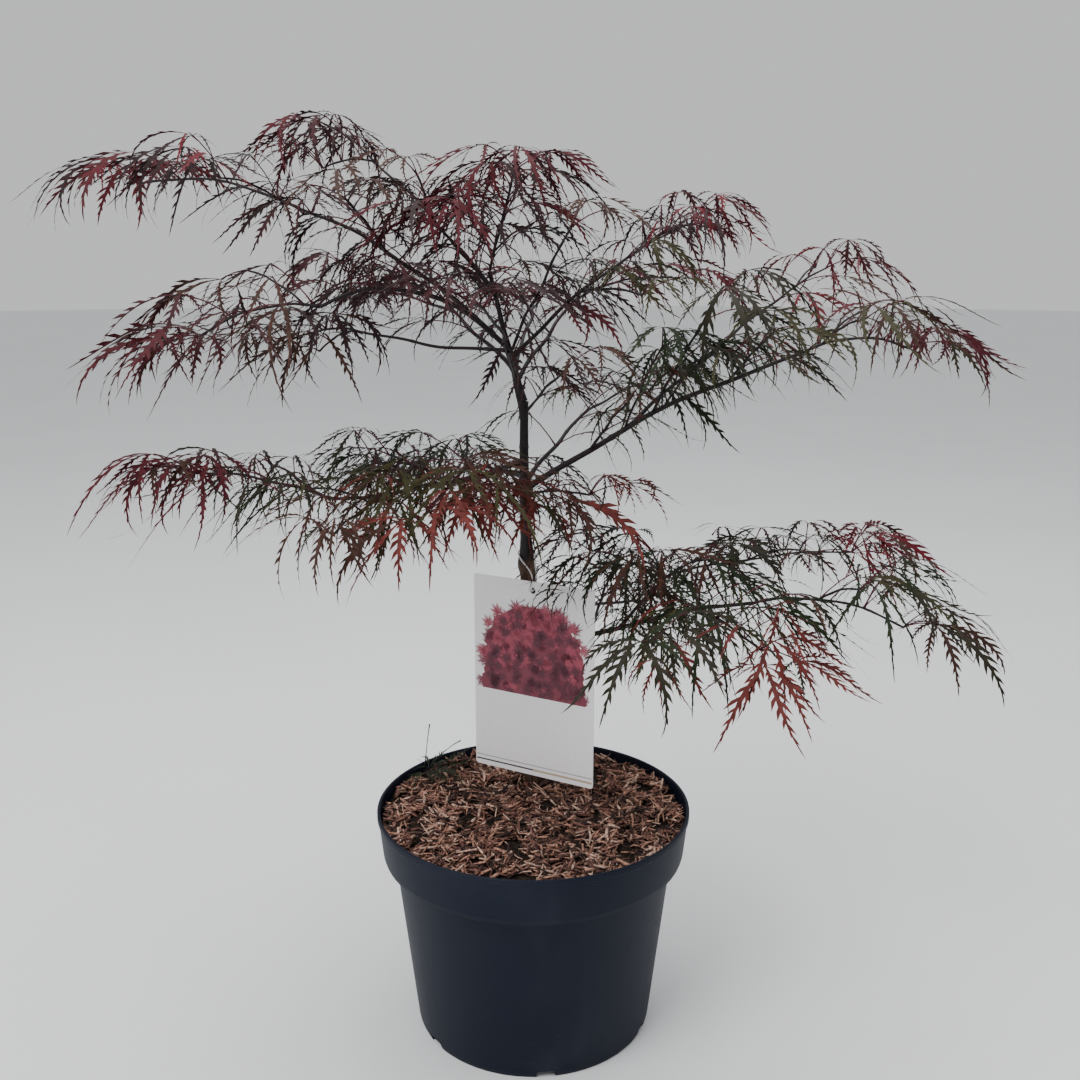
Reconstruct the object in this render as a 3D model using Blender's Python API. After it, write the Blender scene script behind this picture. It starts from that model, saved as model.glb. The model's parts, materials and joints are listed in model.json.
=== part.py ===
"""A laceleaf Japanese maple in a round nursery pot. Blender 4.5, metres, +Z up.

The origin is the centre of the pot's flat underside, and the plant's wide side lies along X.
The trunk, each bough and each mass of foliage is one object. So are the pot, its fill, the label and
its string.
"""

import math
import random
from collections import namedtuple

import bmesh
import bpy
from mathutils import Matrix, Vector
from mathutils.bvhtree import BVHTree

# Pot
POT_HEIGHT = 0.205
RIM_RADIUS = 0.140
RIM_LIP = 0.0026
COLLAR_HEIGHT = 0.042
COLLAR_FOOT_RADIUS = 0.1355
SHOULDER_DROP = 0.006
BODY_TOP_RADIUS = 0.1245
BASE_RADIUS = 0.107
BASE_ROUND = 0.004
WALL = 0.0022
FLOOR_TOP = 0.0085
RECESS_DEPTH = 0.004
BOSS_RADIUS = 0.030
FOOT_RING_RADIUS = 0.090
NOTCH_COUNT = 6
NOTCH_WIDTH = 0.016
NOTCH_HEIGHT = 0.006
NOTCH_FIRST_DEG = -84.0
POT_FACETS = 28

# Fill of compost under bark mulch
FILL_TOP = 0.2045
FILL_EDGE_TOP = 0.1940
FILL_FLAT_RADIUS = 0.062

# Clearance between solids that touch in life
GAP = 0.0003

# Trunk: a rootstock up to the graft union, then the leader up to the fork
TRUNK_HEIGHT = 0.3625
TRUNK_SIDES = 8
TRUNK_RINGS = 14
TRUNK_FOOT = (0.003, 0.045)
TRUNK_HEAD = (-0.007, 0.0)
TRUNK_GIRTH = (  # share of the height, radius
    (0.00, 0.0120),
    (0.07, 0.0075),
    (0.15, 0.0062),
    (0.50, 0.0056),
    (0.57, 0.0066),
    (0.62, 0.0068),
    (0.68, 0.0046),
    (1.00, 0.0034),
)

# Boughs. azimuth is in plan, anticlockwise from +X; reach is level, lift is upwards, arch is how far the
# middle stands above the straight line; radius is at the foot and tip at the end.
LIMB_SIDES = 5
FEWEST_RINGS = 4
MOST_RINGS = 6
RING_SPACING = 0.040
WANDER = 0.010
Limb = namedtuple("Limb", "parent at azimuth reach lift arch radius tip")
LIMBS = {
    "left_leader": Limb("trunk", 1.00, 180, 0.015, 0.045, 0.000, 0.0030, 0.0025),
    "right_leader": Limb("trunk", 0.96, 160, 0.030, 0.120, 0.003, 0.0026, 0.0018),
    "mid_left_bough": Limb("left_leader", 1.00, -154, 0.155, 0.035, 0.028, 0.0023, 0.0014),
    "mid_left_lower_bough": Limb("left_leader", 0.93, 162, 0.145, 0.015, -0.004, 0.0015, 0.0011),
    "upper_left_bough": Limb("mid_left_bough", 0.07, 172, 0.160, 0.100, 0.012, 0.0020, 0.0013),
    "top_left_bough": Limb("right_leader", 0.85, 158, 0.110, 0.105, 0.006, 0.0014, 0.0010),
    "right_upper_bough": Limb("left_leader", 0.75, 26, 0.115, 0.085, 0.006, 0.0018, 0.0012),
    "right_bough": Limb("trunk", 0.79, -14, 0.225, 0.120, 0.010, 0.0027, 0.0014),
    "right_branch": Limb("right_bough", 0.40, 32, 0.160, 0.100, 0.004, 0.0017, 0.0011),
    "lower_left_bough": Limb("trunk", 0.86, -158, 0.165, -0.020, -0.006, 0.0023, 0.0013),
    "lower_right_bough": Limb("trunk", 0.36, -34, 0.210, 0.085, 0.008, 0.0026, 0.0014),
    "lower_right_riser": Limb("lower_right_bough", 0.42, 5, 0.040, 0.045, 0.002, 0.0015, 0.0011),
    "back_left_bough": Limb("left_leader", 0.60, 118, 0.215, 0.050, 0.010, 0.0019, 0.0012),
    "back_centre_bough": Limb("left_leader", 0.50, 84, 0.175, 0.050, 0.010, 0.0018, 0.0012),
    "back_right_bough": Limb("right_leader", 0.22, 68, 0.180, 0.070, 0.010, 0.0019, 0.0012),
    "back_low_bough": Limb("trunk", 0.80, 62, 0.165, 0.055, 0.010, 0.0020, 0.0012),
    "back_low_left_bough": Limb("trunk", 0.82, 120, 0.170, -0.030, 0.010, 0.0020, 0.0012),
    "back_low_right_bough": Limb("trunk", 0.42, 48, 0.160, -0.005, 0.010, 0.0020, 0.0012),
    "front_bough": Limb("left_leader", 0.45, -98, 0.120, 0.055, 0.008, 0.0016, 0.0011),
}

# Foliage masses. Each is a stem like a bough, with `nodes` opposite pairs of shoots of about `spread` long.
Mass = namedtuple("Mass", "parent at azimuth reach lift arch nodes spread leaf tint")
MASSES = {
    "upper_left_tip": Mass(
        "upper_left_bough", 1.00, 174, 0.135, 0.020, 0.012, 3, 0.042, 0.090, "crimson"
    ),
    "left_shoulder": Mass(
        "upper_left_bough", 0.55, -125, 0.045, 0.040, 0.002, 1, 0.036, 0.082, "maroon"
    ),
    "top_left": Mass("top_left_bough", 1.00, 165, 0.045, -0.005, 0.004, 2, 0.038, 0.082, "crimson"),
    "top_left_inner": Mass(
        "top_left_bough", 0.50, -140, 0.015, 0.035, 0.002, 1, 0.034, 0.080, "maroon"
    ),
    "top_centre": Mass("right_leader", 1.00, -30, 0.025, 0.080, 0.000, 2, 0.043, 0.080, "crimson"),
    "upper_middle": Mass("right_leader", 0.80, -130, 0.065, 0.055, 0.003, 1, 0.040, 0.082, "maroon"),
    "centre": Mass("right_leader", 0.42, -50, 0.075, 0.100, 0.004, 1, 0.040, 0.082, "maroon"),
    "centre_right": Mass("trunk", 0.97, -60, 0.070, 0.045, 0.002, 1, 0.032, 0.070, "bronze"),
    "left_inner": Mass("mid_left_bough", 0.42, 130, 0.035, 0.010, 0.002, 1, 0.036, 0.080, "maroon"),
    "mid_left_tip": Mass(
        "mid_left_bough", 1.00, -160, 0.090, -0.020, 0.010, 3, 0.042, 0.088, "crimson"
    ),
    "mid_left_lower": Mass(
        "mid_left_lower_bough", 1.00, -155, 0.055, -0.010, 0.003, 1, 0.040, 0.082, "bronze"
    ),
    "right_top": Mass("right_upper_bough", 1.00, 10, 0.050, 0.025, 0.002, 2, 0.038, 0.082, "crimson"),
    "right_mid": Mass("right_upper_bough", 0.55, -50, 0.075, 0.000, 0.004, 1, 0.038, 0.080, "olive"),
    "right_upper_tip": Mass("right_branch", 1.00, 10, 0.040, 0.025, 0.002, 1, 0.040, 0.082, "crimson"),
    "right_tip": Mass("right_bough", 1.00, -10, 0.080, 0.005, 0.010, 2, 0.044, 0.088, "bronze"),
    "right_inner": Mass("right_bough", 0.48, -60, 0.080, 0.095, 0.002, 1, 0.044, 0.088, "green"),
    "right_under": Mass("right_bough", 0.25, -60, 0.060, 0.050, 0.002, 1, 0.034, 0.068, "bronze"),
    "right_middle": Mass("right_bough", 0.75, -70, 0.070, 0.045, 0.002, 1, 0.036, 0.082, "olive"),
    "lower_left_tip": Mass(
        "lower_left_bough", 1.00, -168, 0.105, 0.025, 0.006, 3, 0.038, 0.090, "bronze"
    ),
    "lower_left_top": Mass(
        "lower_left_bough", 0.40, 160, 0.055, 0.020, 0.002, 1, 0.042, 0.080, "maroon"
    ),
    "lower_left_front": Mass(
        "lower_left_bough", 0.35, -102, 0.105, -0.010, 0.004, 1, 0.042, 0.088, "ember"
    ),
    "lower_left_hanging": Mass(
        "lower_left_bough", 0.72, -106, 0.105, -0.010, 0.003, 1, 0.042, 0.090, "olive"
    ),
    "centre_spray": Mass("trunk", 0.78, -45, 0.075, 0.010, 0.003, 1, 0.026, 0.062, "ember"),
    "lower_right_upper": Mass(
        "lower_right_riser", 1.00, 14, 0.170, 0.010, 0.006, 3, 0.042, 0.088, "olive"
    ),
    "lower_right_inner": Mass(
        "lower_right_bough", 0.28, -65, 0.035, 0.060, 0.003, 2, 0.040, 0.080, "green"
    ),
    "lower_right_tip": Mass(
        "lower_right_bough", 1.00, -8, 0.115, -0.015, 0.012, 3, 0.042, 0.088, "green"
    ),
    "lower_right_front": Mass(
        "lower_right_bough", 0.75, -65, 0.095, -0.005, 0.004, 1, 0.044, 0.090, "ember"
    ),
    "lower_right_low": Mass(
        "lower_right_bough", 0.45, -86, 0.140, 0.030, 0.003, 1, 0.042, 0.090, "green"
    ),
    "back_left_tip": Mass(
        "back_left_bough", 1.00, 132, 0.110, -0.005, 0.006, 1, 0.042, 0.090, "maroon"
    ),
    "back_centre_tip": Mass(
        "back_centre_bough", 1.00, 95, 0.080, 0.000, 0.006, 1, 0.042, 0.090, "maroon"
    ),
    "back_right_tip": Mass(
        "back_right_bough", 1.00, 35, 0.110, 0.010, 0.006, 1, 0.042, 0.090, "maroon"
    ),
    "back_low_tip": Mass("back_low_bough", 1.00, 55, 0.095, 0.005, 0.006, 1, 0.042, 0.090, "olive"),
    "back_low_left_tip": Mass(
        "back_low_left_bough", 1.00, 128, 0.100, -0.020, 0.006, 1, 0.042, 0.090, "green"
    ),
    "back_low_right_tip": Mass(
        "back_low_right_bough", 1.00, 46, 0.110, -0.015, 0.006, 1, 0.042, 0.090, "green"
    ),
    "front_tip": Mass("front_bough", 1.00, -105, 0.045, 0.010, 0.004, 1, 0.036, 0.080, "maroon"),
}
STEM_RINGS = 4
STEEP = 1.4
TWIG_SIDES = 3
TWIG_RINGS = 2
TWIG_RADIUS = 0.0010
PETIOLE_RADIUS = 0.0008
ROOT_SUNK = 0.0006
FORK_ANGLE = 54
FAN_ANGLE = 42
LONGEST_PETIOLE = 0.045
PETIOLE_LENGTH = 0.030
STALK_CLEAR = 0.006

# A leaf: five deeply cut lobes, as (turn, share of the leaf's size). The longer ones arch over and hang.
LOBES = ((-68, 0.66), (-31, 0.92), (0, 1.00), (31, 0.92), (68, 0.66))
STRAIGHT_LOBE = 0.70
LOBE_WIDEST = 0.45
LOBE_HALF_WIDTH = 0.060
LEAF_THICKNESS = 0.0013
HUB_RADIUS = 0.0042
LEAF_TILT = -12
LEAF_HANG = -78

# Plant label and the string that holds it
CARD_WIDTH = 0.118
CARD_HEIGHT = 0.178
CARD_THICKNESS = 0.0010
CARD_TOP = 0.415
CARD_YAW = -29.0
CARD_Y = -0.0120
CARD_CORNER = 0.005
CARD_HOLE_RADIUS = 0.0028
CARD_HOLE_DROP = 0.008
STRING_RADIUS = 0.0006
STRING_TOP = 0.437
STRING_STAND_OFF = 0.0022
STRING_SLOPE = 25
STRING_STEPS = 3

COLOURS = {  # material: base colour, roughness
    "black_plastic": ((0.012, 0.014, 0.020), 0.55),
    "bark_mulch": ((0.120, 0.055, 0.030), 0.95),
    "bark": ((0.030, 0.022, 0.024), 0.70),
    "crimson": ((0.100, 0.012, 0.020), 0.55),
    "maroon": ((0.036, 0.014, 0.020), 0.55),
    "bronze": ((0.055, 0.026, 0.018), 0.55),
    "green": ((0.018, 0.030, 0.014), 0.55),
    "olive": ((0.050, 0.042, 0.014), 0.55),
    "ember": ((0.200, 0.030, 0.020), 0.55),
    "white_card": ((0.780, 0.760, 0.770), 0.45),
    "white_string": ((0.800, 0.800, 0.800), 0.60),
}


def clear_scene():
    for obj in list(bpy.data.objects):
        bpy.data.objects.remove(obj)


def material(name):
    """The named material, made once."""
    found = bpy.data.materials.get(name)
    if found:
        return found
    colour, roughness = COLOURS[name]
    made = bpy.data.materials.new(name)
    made.use_nodes = True
    shader = made.node_tree.nodes["Principled BSDF"]
    shader.inputs["Base Color"].default_value = (*colour, 1.0)
    shader.inputs["Roughness"].default_value = roughness
    shader.inputs["Metallic"].default_value = 0.0
    return made


def new_object(name, bm, material_name, collection=None):
    """An object with this bmesh's shape, its faces turned outwards."""
    bmesh.ops.recalc_face_normals(bm, faces=bm.faces)
    mesh = bpy.data.meshes.new(name)
    bm.to_mesh(mesh)
    bm.free()
    mesh.materials.append(material(material_name))
    obj = bpy.data.objects.new(name, mesh)
    (collection or bpy.context.scene.collection).objects.link(obj)
    return obj


def smooth(obj, angle_deg=40):
    obj.data.shade_smooth()
    obj.data.set_sharp_from_angle(angle=math.radians(angle_deg))


def apply_modifiers(obj):
    """Replaces the object's mesh with its evaluated one."""
    graph = bpy.context.evaluated_depsgraph_get()
    mesh = bpy.data.meshes.new_from_object(obj.evaluated_get(graph))
    obj.modifiers.clear()
    obj.data = mesh


def cut(obj, cutter):
    """Cuts the cutter's shape out of obj at once, and removes the cutter."""
    boolean = obj.modifiers.new("cut", "BOOLEAN")
    boolean.operation = "DIFFERENCE"
    boolean.solver = "EXACT"
    boolean.object = cutter
    apply_modifiers(obj)
    bpy.data.objects.remove(cutter)


def islands(bm):
    """The bmesh's separate bodies, each a list of faces."""
    left = set(bm.faces)
    found = []
    while left:
        body, edge_of_search = [], [left.pop()]
        while edge_of_search:
            face = edge_of_search.pop()
            body.append(face)
            for edge in face.edges:
                for other in edge.link_faces:
                    if other in left:
                        left.remove(other)
                        edge_of_search.append(other)
        found.append(body)
    return found


def signed_volume(faces):
    """Six times the volume that these faces close in, negative if they face inwards."""
    total = 0.0
    for face in faces:
        first = face.verts[0].co
        for a, b in zip(face.verts[1:-1], face.verts[2:]):
            total += first.dot(a.co.cross(b.co))
    return total


def keep_main_body(obj):
    """Drops loose scraps, and the inner skin of a hollow that fusing has sealed."""
    bm = bmesh.new()
    bm.from_mesh(obj.data)
    bodies = islands(bm)
    main = max(bodies, key=signed_volume)
    spare = [face for body in bodies if body is not main for face in body]
    bmesh.ops.delete(bm, geom=spare, context="FACES")
    bm.to_mesh(obj.data)
    bm.free()


# Directions and paths


def heading(azimuth_deg, pitch_deg=0.0):
    azimuth, pitch = math.radians(azimuth_deg), math.radians(pitch_deg)
    level = math.cos(pitch)
    return Vector((level * math.cos(azimuth), level * math.sin(azimuth), math.sin(pitch)))


def interpolate(table, t):
    """Reads a table of (place, value) pairs at t."""
    for (t0, v0), (t1, v1) in zip(table, table[1:]):
        if t <= t1:
            return v0 + (v1 - v0) * (t - t0) / (t1 - t0)
    return table[-1][1]


class TrunkPath:
    """The trunk's centre line and radius, t from 0 at the ground to 1 at the fork."""

    def at(self, t):
        foot, head = Vector(TRUNK_FOOT), Vector(TRUNK_HEAD)
        across = foot + (head - foot) * (1 - (1 - t) ** 1.35)
        sway = 0.0015 * math.sin(2 * math.pi * t)
        return Vector((across.x + sway, across.y, FILL_TOP + GAP + TRUNK_HEIGHT * t))

    def radius(self, t):
        return interpolate(TRUNK_GIRTH, t)

    def direction(self, t):
        return direction_of(self, t)


class ArchPath:
    """A limb's centre line: an arch from start towards an azimuth, with a slight seeded wander."""

    def __init__(self, start, azimuth, reach, lift, arch, radius, tip, seed):
        rnd = random.Random(seed)
        self.start = start
        self.end = start + reach * heading(azimuth) + Vector((0, 0, lift))
        self.control = (self.start + self.end) / 2 + Vector((0, 0, 2 * arch))
        self.girth = (radius, tip)
        self.sideways = heading(azimuth + 90)
        self.wander = WANDER * (self.end - self.start).length
        self.phases = (rnd.uniform(0, 6.3), rnd.uniform(0, 6.3))

    def at(self, t):
        point = (1 - t) ** 2 * self.start + 2 * t * (1 - t) * self.control + t * t * self.end
        ends = 4 * t * (1 - t) * self.wander
        sway = math.sin(9 * t + self.phases[0]) + 0.6 * math.sin(17 * t + self.phases[1])
        bob = math.sin(11 * t + self.phases[1])
        return point + ends * (sway * self.sideways + Vector((0, 0, 0.7 * bob)))

    def radius(self, t):
        foot, tip = self.girth
        return foot + (tip - foot) * t

    def direction(self, t):
        return direction_of(self, t)


def direction_of(path, t):
    step = 0.01
    return (path.at(min(t + step, 1)) - path.at(max(t - step, 0))).normalized()


def tube(path, rings, sides, swell=0.0, first_normal=None):
    """A closed tapering tube along a path, as a bmesh."""
    bm = bmesh.new()
    previous = None
    for i in range(rings):
        t = i / (rings - 1)
        normal = first_normal if i == 0 and first_normal else path.direction(t)
        turn = Vector((0, 0, 1)).rotation_difference(normal).to_matrix().to_4x4()
        place = Matrix.Translation(path.at(t)) @ turn
        made = bmesh.ops.create_circle(bm, segments=sides, radius=path.radius(t) + swell, matrix=place)
        ring = made["verts"]
        if previous:
            ring_edges = {e for v in ring + previous for e in v.link_edges if e.is_boundary or e.is_wire}
            bmesh.ops.bridge_loops(bm, edges=list(ring_edges))
        else:
            bm.faces.new(ring)
        previous = ring
    bm.faces.new(previous)
    bmesh.ops.recalc_face_normals(bm, faces=bm.faces)
    return bm


# Pot, fill and label


def turned(name, profile, material_name):
    """A closed solid turned about Z from a profile of (radius, height) that starts and ends on the axis."""
    bm = bmesh.new()
    points = [bm.verts.new((r, 0, z)) for r, z in profile]
    edges = [bm.edges.new(pair) for pair in zip(points, points[1:])]
    bmesh.ops.spin(
        bm,
        geom=points + edges,
        cent=(0, 0, 0),
        axis=(0, 0, 1),
        angle=2 * math.pi,
        steps=POT_FACETS,
        use_merge=True,
    )
    bmesh.ops.remove_doubles(bm, verts=bm.verts, dist=1e-5)
    return new_object(name, bm, material_name)


def pot_inner_profile(clearance=0.0):
    """The inside of the pot's wall from the floor to the rim, brought in by a clearance."""
    inset = WALL + clearance
    collar_foot = POT_HEIGHT - COLLAR_HEIGHT
    return [
        (BASE_RADIUS - inset, FLOOR_TOP + clearance),
        (BODY_TOP_RADIUS - inset, collar_foot - SHOULDER_DROP + inset),
        (COLLAR_FOOT_RADIUS - inset, collar_foot + inset),
    ]


def build_pot():
    collar_foot = POT_HEIGHT - COLLAR_HEIGHT
    underside = [
        (0, 0),
        (BOSS_RADIUS, 0),
        (BOSS_RADIUS + RECESS_DEPTH, RECESS_DEPTH),
        (FOOT_RING_RADIUS - RECESS_DEPTH, RECESS_DEPTH),
        (FOOT_RING_RADIUS, 0),
        (BASE_RADIUS - BASE_ROUND, 0),
    ]
    outside = [
        (BASE_RADIUS - 0.3 * BASE_ROUND, 0.3 * BASE_ROUND),
        (BASE_RADIUS, BASE_ROUND),
        (BODY_TOP_RADIUS, collar_foot - SHOULDER_DROP),
        (COLLAR_FOOT_RADIUS - 0.003, collar_foot - 0.001),
        (COLLAR_FOOT_RADIUS, collar_foot + 0.003),
        (RIM_RADIUS, POT_HEIGHT - 0.001),
        (RIM_RADIUS - 0.001, POT_HEIGHT),
        (RIM_RADIUS - RIM_LIP, POT_HEIGHT),
    ]
    inside = list(reversed(pot_inner_profile())) + [(0, FLOOR_TOP)]
    pot = turned("pot", underside + outside + inside, "black_plastic")
    for i in range(NOTCH_COUNT):
        bm = bmesh.new()
        bmesh.ops.create_cube(bm, size=1.0)
        depth = 0.036
        bmesh.ops.scale(bm, vec=(depth, NOTCH_WIDTH, 2 * NOTCH_HEIGHT), verts=bm.verts)
        bmesh.ops.translate(bm, vec=(FOOT_RING_RADIUS - 0.008 + depth / 2, 0, 0), verts=bm.verts)
        angle = math.radians(NOTCH_FIRST_DEG + 360 / NOTCH_COUNT * i)
        bmesh.ops.rotate(bm, matrix=Matrix.Rotation(angle, 3, "Z"), verts=bm.verts)
        cut(pot, new_object("notch_cutter", bm, "black_plastic"))
    smooth(pot)
    return pot


def build_fill():
    inner = pot_inner_profile(GAP)
    profile = [(0, inner[0][1])] + inner
    wall_foot, wall_top = inner[-1], (RIM_RADIUS - RIM_LIP - GAP, POT_HEIGHT)
    share = (FILL_EDGE_TOP - wall_foot[1]) / (wall_top[1] - wall_foot[1])
    edge_radius = wall_foot[0] + share * (wall_top[0] - wall_foot[0])
    profile += [
        (edge_radius, FILL_EDGE_TOP),
        (FILL_FLAT_RADIUS, FILL_TOP),
        (0, FILL_TOP),
    ]
    fill = turned("mulch_fill", profile, "bark_mulch")
    smooth(fill)
    return fill


def build_label():
    """A thin card with round corners and a hole, hung in front of the trunk."""
    bm = bmesh.new()
    bmesh.ops.create_cube(bm, size=1.0)
    bmesh.ops.scale(bm, vec=(CARD_WIDTH, CARD_THICKNESS, CARD_HEIGHT), verts=bm.verts)
    corners = [e for e in bm.edges if abs(e.verts[0].co.y - e.verts[1].co.y) > CARD_THICKNESS / 2]
    bmesh.ops.bevel(
        bm, geom=corners, affect="EDGES", offset=CARD_CORNER, segments=3, profile=0.5, material=-1
    )
    bmesh.ops.translate(bm, vec=(0, 0, -CARD_HEIGHT / 2), verts=bm.verts)
    card = new_object("label_card", bm, "white_card")
    drill = bmesh.new()
    bmesh.ops.create_cone(
        drill, cap_ends=True, segments=12, radius1=CARD_HOLE_RADIUS, radius2=CARD_HOLE_RADIUS, depth=0.02
    )
    bmesh.ops.rotate(drill, matrix=Matrix.Rotation(math.pi / 2, 3, "X"), verts=drill.verts)
    bmesh.ops.translate(drill, vec=(0, 0, -CARD_HOLE_DROP), verts=drill.verts)
    cut(card, new_object("hole_cutter", drill, "white_card"))
    card.location = (0, CARD_Y, CARD_TOP)
    card.rotation_euler = (0, 0, math.radians(CARD_YAW))
    return card


def build_string(card, trunk_path):
    """A closed loop through the card's hole, over its top edge and round the back of the trunk."""
    hole = card.location - Vector((0, 0, CARD_HOLE_DROP))
    out = card.rotation_euler.to_matrix() @ Vector((0, -1, 0))
    up = Vector((0, 0, 1))
    t = (STRING_TOP - FILL_TOP) / TRUNK_HEIGHT
    trunk = trunk_path.at(t)
    clear = trunk_path.radius(t) + STRING_STAND_OFF
    round_trunk = []
    for angle in (200, 145, 90, 35, -20):
        round_trunk.append(trunk + clear * heading(angle, -STRING_SLOPE * abs(angle - 90) / 90))
    in_front = [hole, hole + 0.0025 * out + 0.001 * up, hole + 0.0026 * out + 0.7 * CARD_HOLE_DROP * up]
    over_edge = [hole + 0.0005 * out + (CARD_HOLE_DROP + 0.0025) * up]
    behind = [hole - 0.0045 * out + 0.002 * up]
    return sweep("label_string", in_front + over_edge + round_trunk + behind, "white_string")


def sweep(name, points, material_name):
    """A closed string through these points."""
    curve = bpy.data.curves.new(name, "CURVE")
    curve.dimensions = "3D"
    curve.bevel_depth = STRING_RADIUS
    curve.bevel_resolution = 0
    curve.resolution_u = STRING_STEPS
    spline = curve.splines.new("BEZIER")
    spline.bezier_points.add(len(points) - 1)
    spline.use_cyclic_u = True
    for place, point in zip(spline.bezier_points, points):
        place.co = point
        place.handle_left_type = place.handle_right_type = "AUTO"
    guide = bpy.data.objects.new(name + "_guide", curve)
    bpy.context.scene.collection.objects.link(guide)
    graph = bpy.context.evaluated_depsgraph_get()
    mesh = bpy.data.meshes.new_from_object(guide.evaluated_get(graph))
    bpy.data.objects.remove(guide)
    bm = bmesh.new()
    bm.from_mesh(mesh)
    bmesh.ops.remove_doubles(bm, verts=bm.verts, dist=1e-6)
    return new_object(name, bm, material_name)


# Limbs


def start_on(parent, at):
    """Where a limb starts on its parent: at its tip with a clearance, or on its centre line."""
    if at < 1:
        return parent.at(at)
    return parent.at(1) + GAP * parent.direction(1)


def path_of(name, row, parent, radius, tip):
    """The centre line of a bough or of a mass's stem, from its row."""
    start = start_on(parent, row.at)
    return ArchPath(start, row.azimuth, row.reach, row.lift, row.arch, radius, tip, mass_seed(name))


def fitted_tube(name, path, parent, at, rings, sides, others):
    """A limb's tube. At its parent's tip it meets it face to face; elsewhere it is cut to fit round it."""
    face = parent.direction(1) if at >= 1 else None
    own = tube(path, rings, sides, first_normal=face)
    own_tree = BVHTree.FromBMesh(own)
    obj = new_object(name, own, "bark")
    for other_name, (other_path, other_rings, other_sides) in others.items():
        if at >= 1 and other_path is parent:
            continue
        swollen = tube(other_path, other_rings, other_sides, swell=GAP)
        if own_tree.overlap(BVHTree.FromBMesh(swollen)):
            cut(obj, new_object("fit_" + other_name, swollen, "bark"))
        else:
            swollen.free()
    keep_main_body(obj)
    smooth(obj)
    return obj


# Leaves and twigs


def lobe_curve(length, azimuth, pitch0, pitch1, s):
    """A point along a lobe that bends evenly from pitch0 to pitch1, and the lobe's upper side there."""
    p0, p1 = math.radians(pitch0), math.radians(pitch1)
    p = p0 + (p1 - p0) * s
    level = length * (math.sin(p) - math.sin(p0)) / (p1 - p0)
    rise = length * (math.cos(p0) - math.cos(p)) / (p1 - p0)
    outward = heading(azimuth)
    upper = Vector((-math.sin(p) * outward.x, -math.sin(p) * outward.y, math.cos(p)))
    return level * outward + Vector((0, 0, rise)), upper


Leaf = namedtuple("Leaf", "foot hub azimuth size tilt hang")


def stalk_ring(bm, centre, azimuth, axis, radius):
    """Three points round a stalk that runs along axis, the first and last to the back of the leaf."""
    sideways = heading(azimuth + 90)
    forward = axis.cross(sideways)
    points = []
    for angle in map(math.radians, (-120, 0, 120)):
        around = math.cos(angle) * forward + math.sin(angle) * sideways
        points.append(bm.verts.new(centre + radius * around))
    return points


def add_lobe(bm, leaf, lobe, hub_top, before, after, swell):
    """One lobe's upper side and tip. Returns the points along its lower side."""
    angle, share = lobe
    thick = LEAF_THICKNESS + swell
    azimuth = leaf.azimuth + angle
    tilt = leaf.tilt * math.cos(math.radians(angle))
    end, _ = lobe_curve(leaf.size * share, azimuth, tilt, leaf.hang, 1.0)
    tip = bm.verts.new(leaf.hub + end)
    if share < STRAIGHT_LOBE:
        bm.faces.new((hub_top, before, tip))
        bm.faces.new((hub_top, tip, after))
        return [tip]
    middle, upper = lobe_curve(leaf.size * share, azimuth, tilt, leaf.hang, LOBE_WIDEST)
    half = (LOBE_HALF_WIDTH * leaf.size * (0.6 + 0.4 * share) + swell) * heading(azimuth + 90)
    rib = bm.verts.new(leaf.hub + middle + 0.75 * thick * upper)
    left = bm.verts.new(leaf.hub + middle + half - 0.25 * thick * upper)
    right = bm.verts.new(leaf.hub + middle - half - 0.25 * thick * upper)
    for corners in (
        (hub_top, before, rib),
        (before, right, rib),
        (right, tip, rib),
        (tip, left, rib),
        (left, after, rib),
        (after, hub_top, rib),
        (left, tip, right),
    ):
        bm.faces.new(corners)
    return [right, left]


def leaf_bmesh(leaf, swell=0.0):
    """A leaf and its stalk in one: slim three-sided lobes bent at their widest place, round a hub."""
    bm = bmesh.new()
    thick = LEAF_THICKNESS + swell
    top = bm.verts.new(leaf.hub + Vector((0, 0, thick)))
    turns = [angle for angle, _ in LOBES]
    notches = []
    for turn, following in zip(turns, turns[1:] + [turns[0] + 360]):
        between = heading(leaf.azimuth + (turn + following) / 2)
        notches.append(bm.verts.new(leaf.hub + (HUB_RADIUS + swell) * between - Vector((0, 0, 0.0006))))
    underside = []
    for i, lobe in enumerate(LOBES):
        underside += [notches[i - 1], *add_lobe(bm, leaf, lobe, top, notches[i - 1], notches[i], swell)]

    down = (leaf.foot - leaf.hub).normalized()
    leaving = (down + Vector((0, 0, -1))).normalized()
    neck = stalk_ring(bm, leaf.hub - Vector((0, 0, thick)), leaf.azimuth, leaving, PETIOLE_RADIUS + swell)
    foot = stalk_ring(bm, leaf.foot + ROOT_SUNK * down, leaf.azimuth, down, PETIOLE_RADIUS + swell)
    starts = [round(i * len(underside) / 3) for i in range(4)]
    underside.append(underside[0])
    for i in range(3):
        part = underside[starts[i] : starts[i + 1] + 1]
        for one, other in zip(part, part[1:]):
            bm.faces.new((neck[i], one, other))
        following = (i + 1) % 3
        bm.faces.new((neck[i], part[-1], neck[following]))
        bm.faces.new((neck[i], neck[following], foot[following], foot[i]))
    bm.faces.new(foot)
    bmesh.ops.recalc_face_normals(bm, faces=bm.faces)
    return bm


def blade_tree(bm, leaf):
    """A search tree of a leaf without its stalk."""
    faces = [face for face in bm.faces if all((v.co - leaf.foot).length > STALK_CLEAR for v in face.verts)]
    bm.verts.index_update()
    return BVHTree.FromPolygons([v.co for v in bm.verts], [[v.index for v in face.verts] for face in faces])


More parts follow.
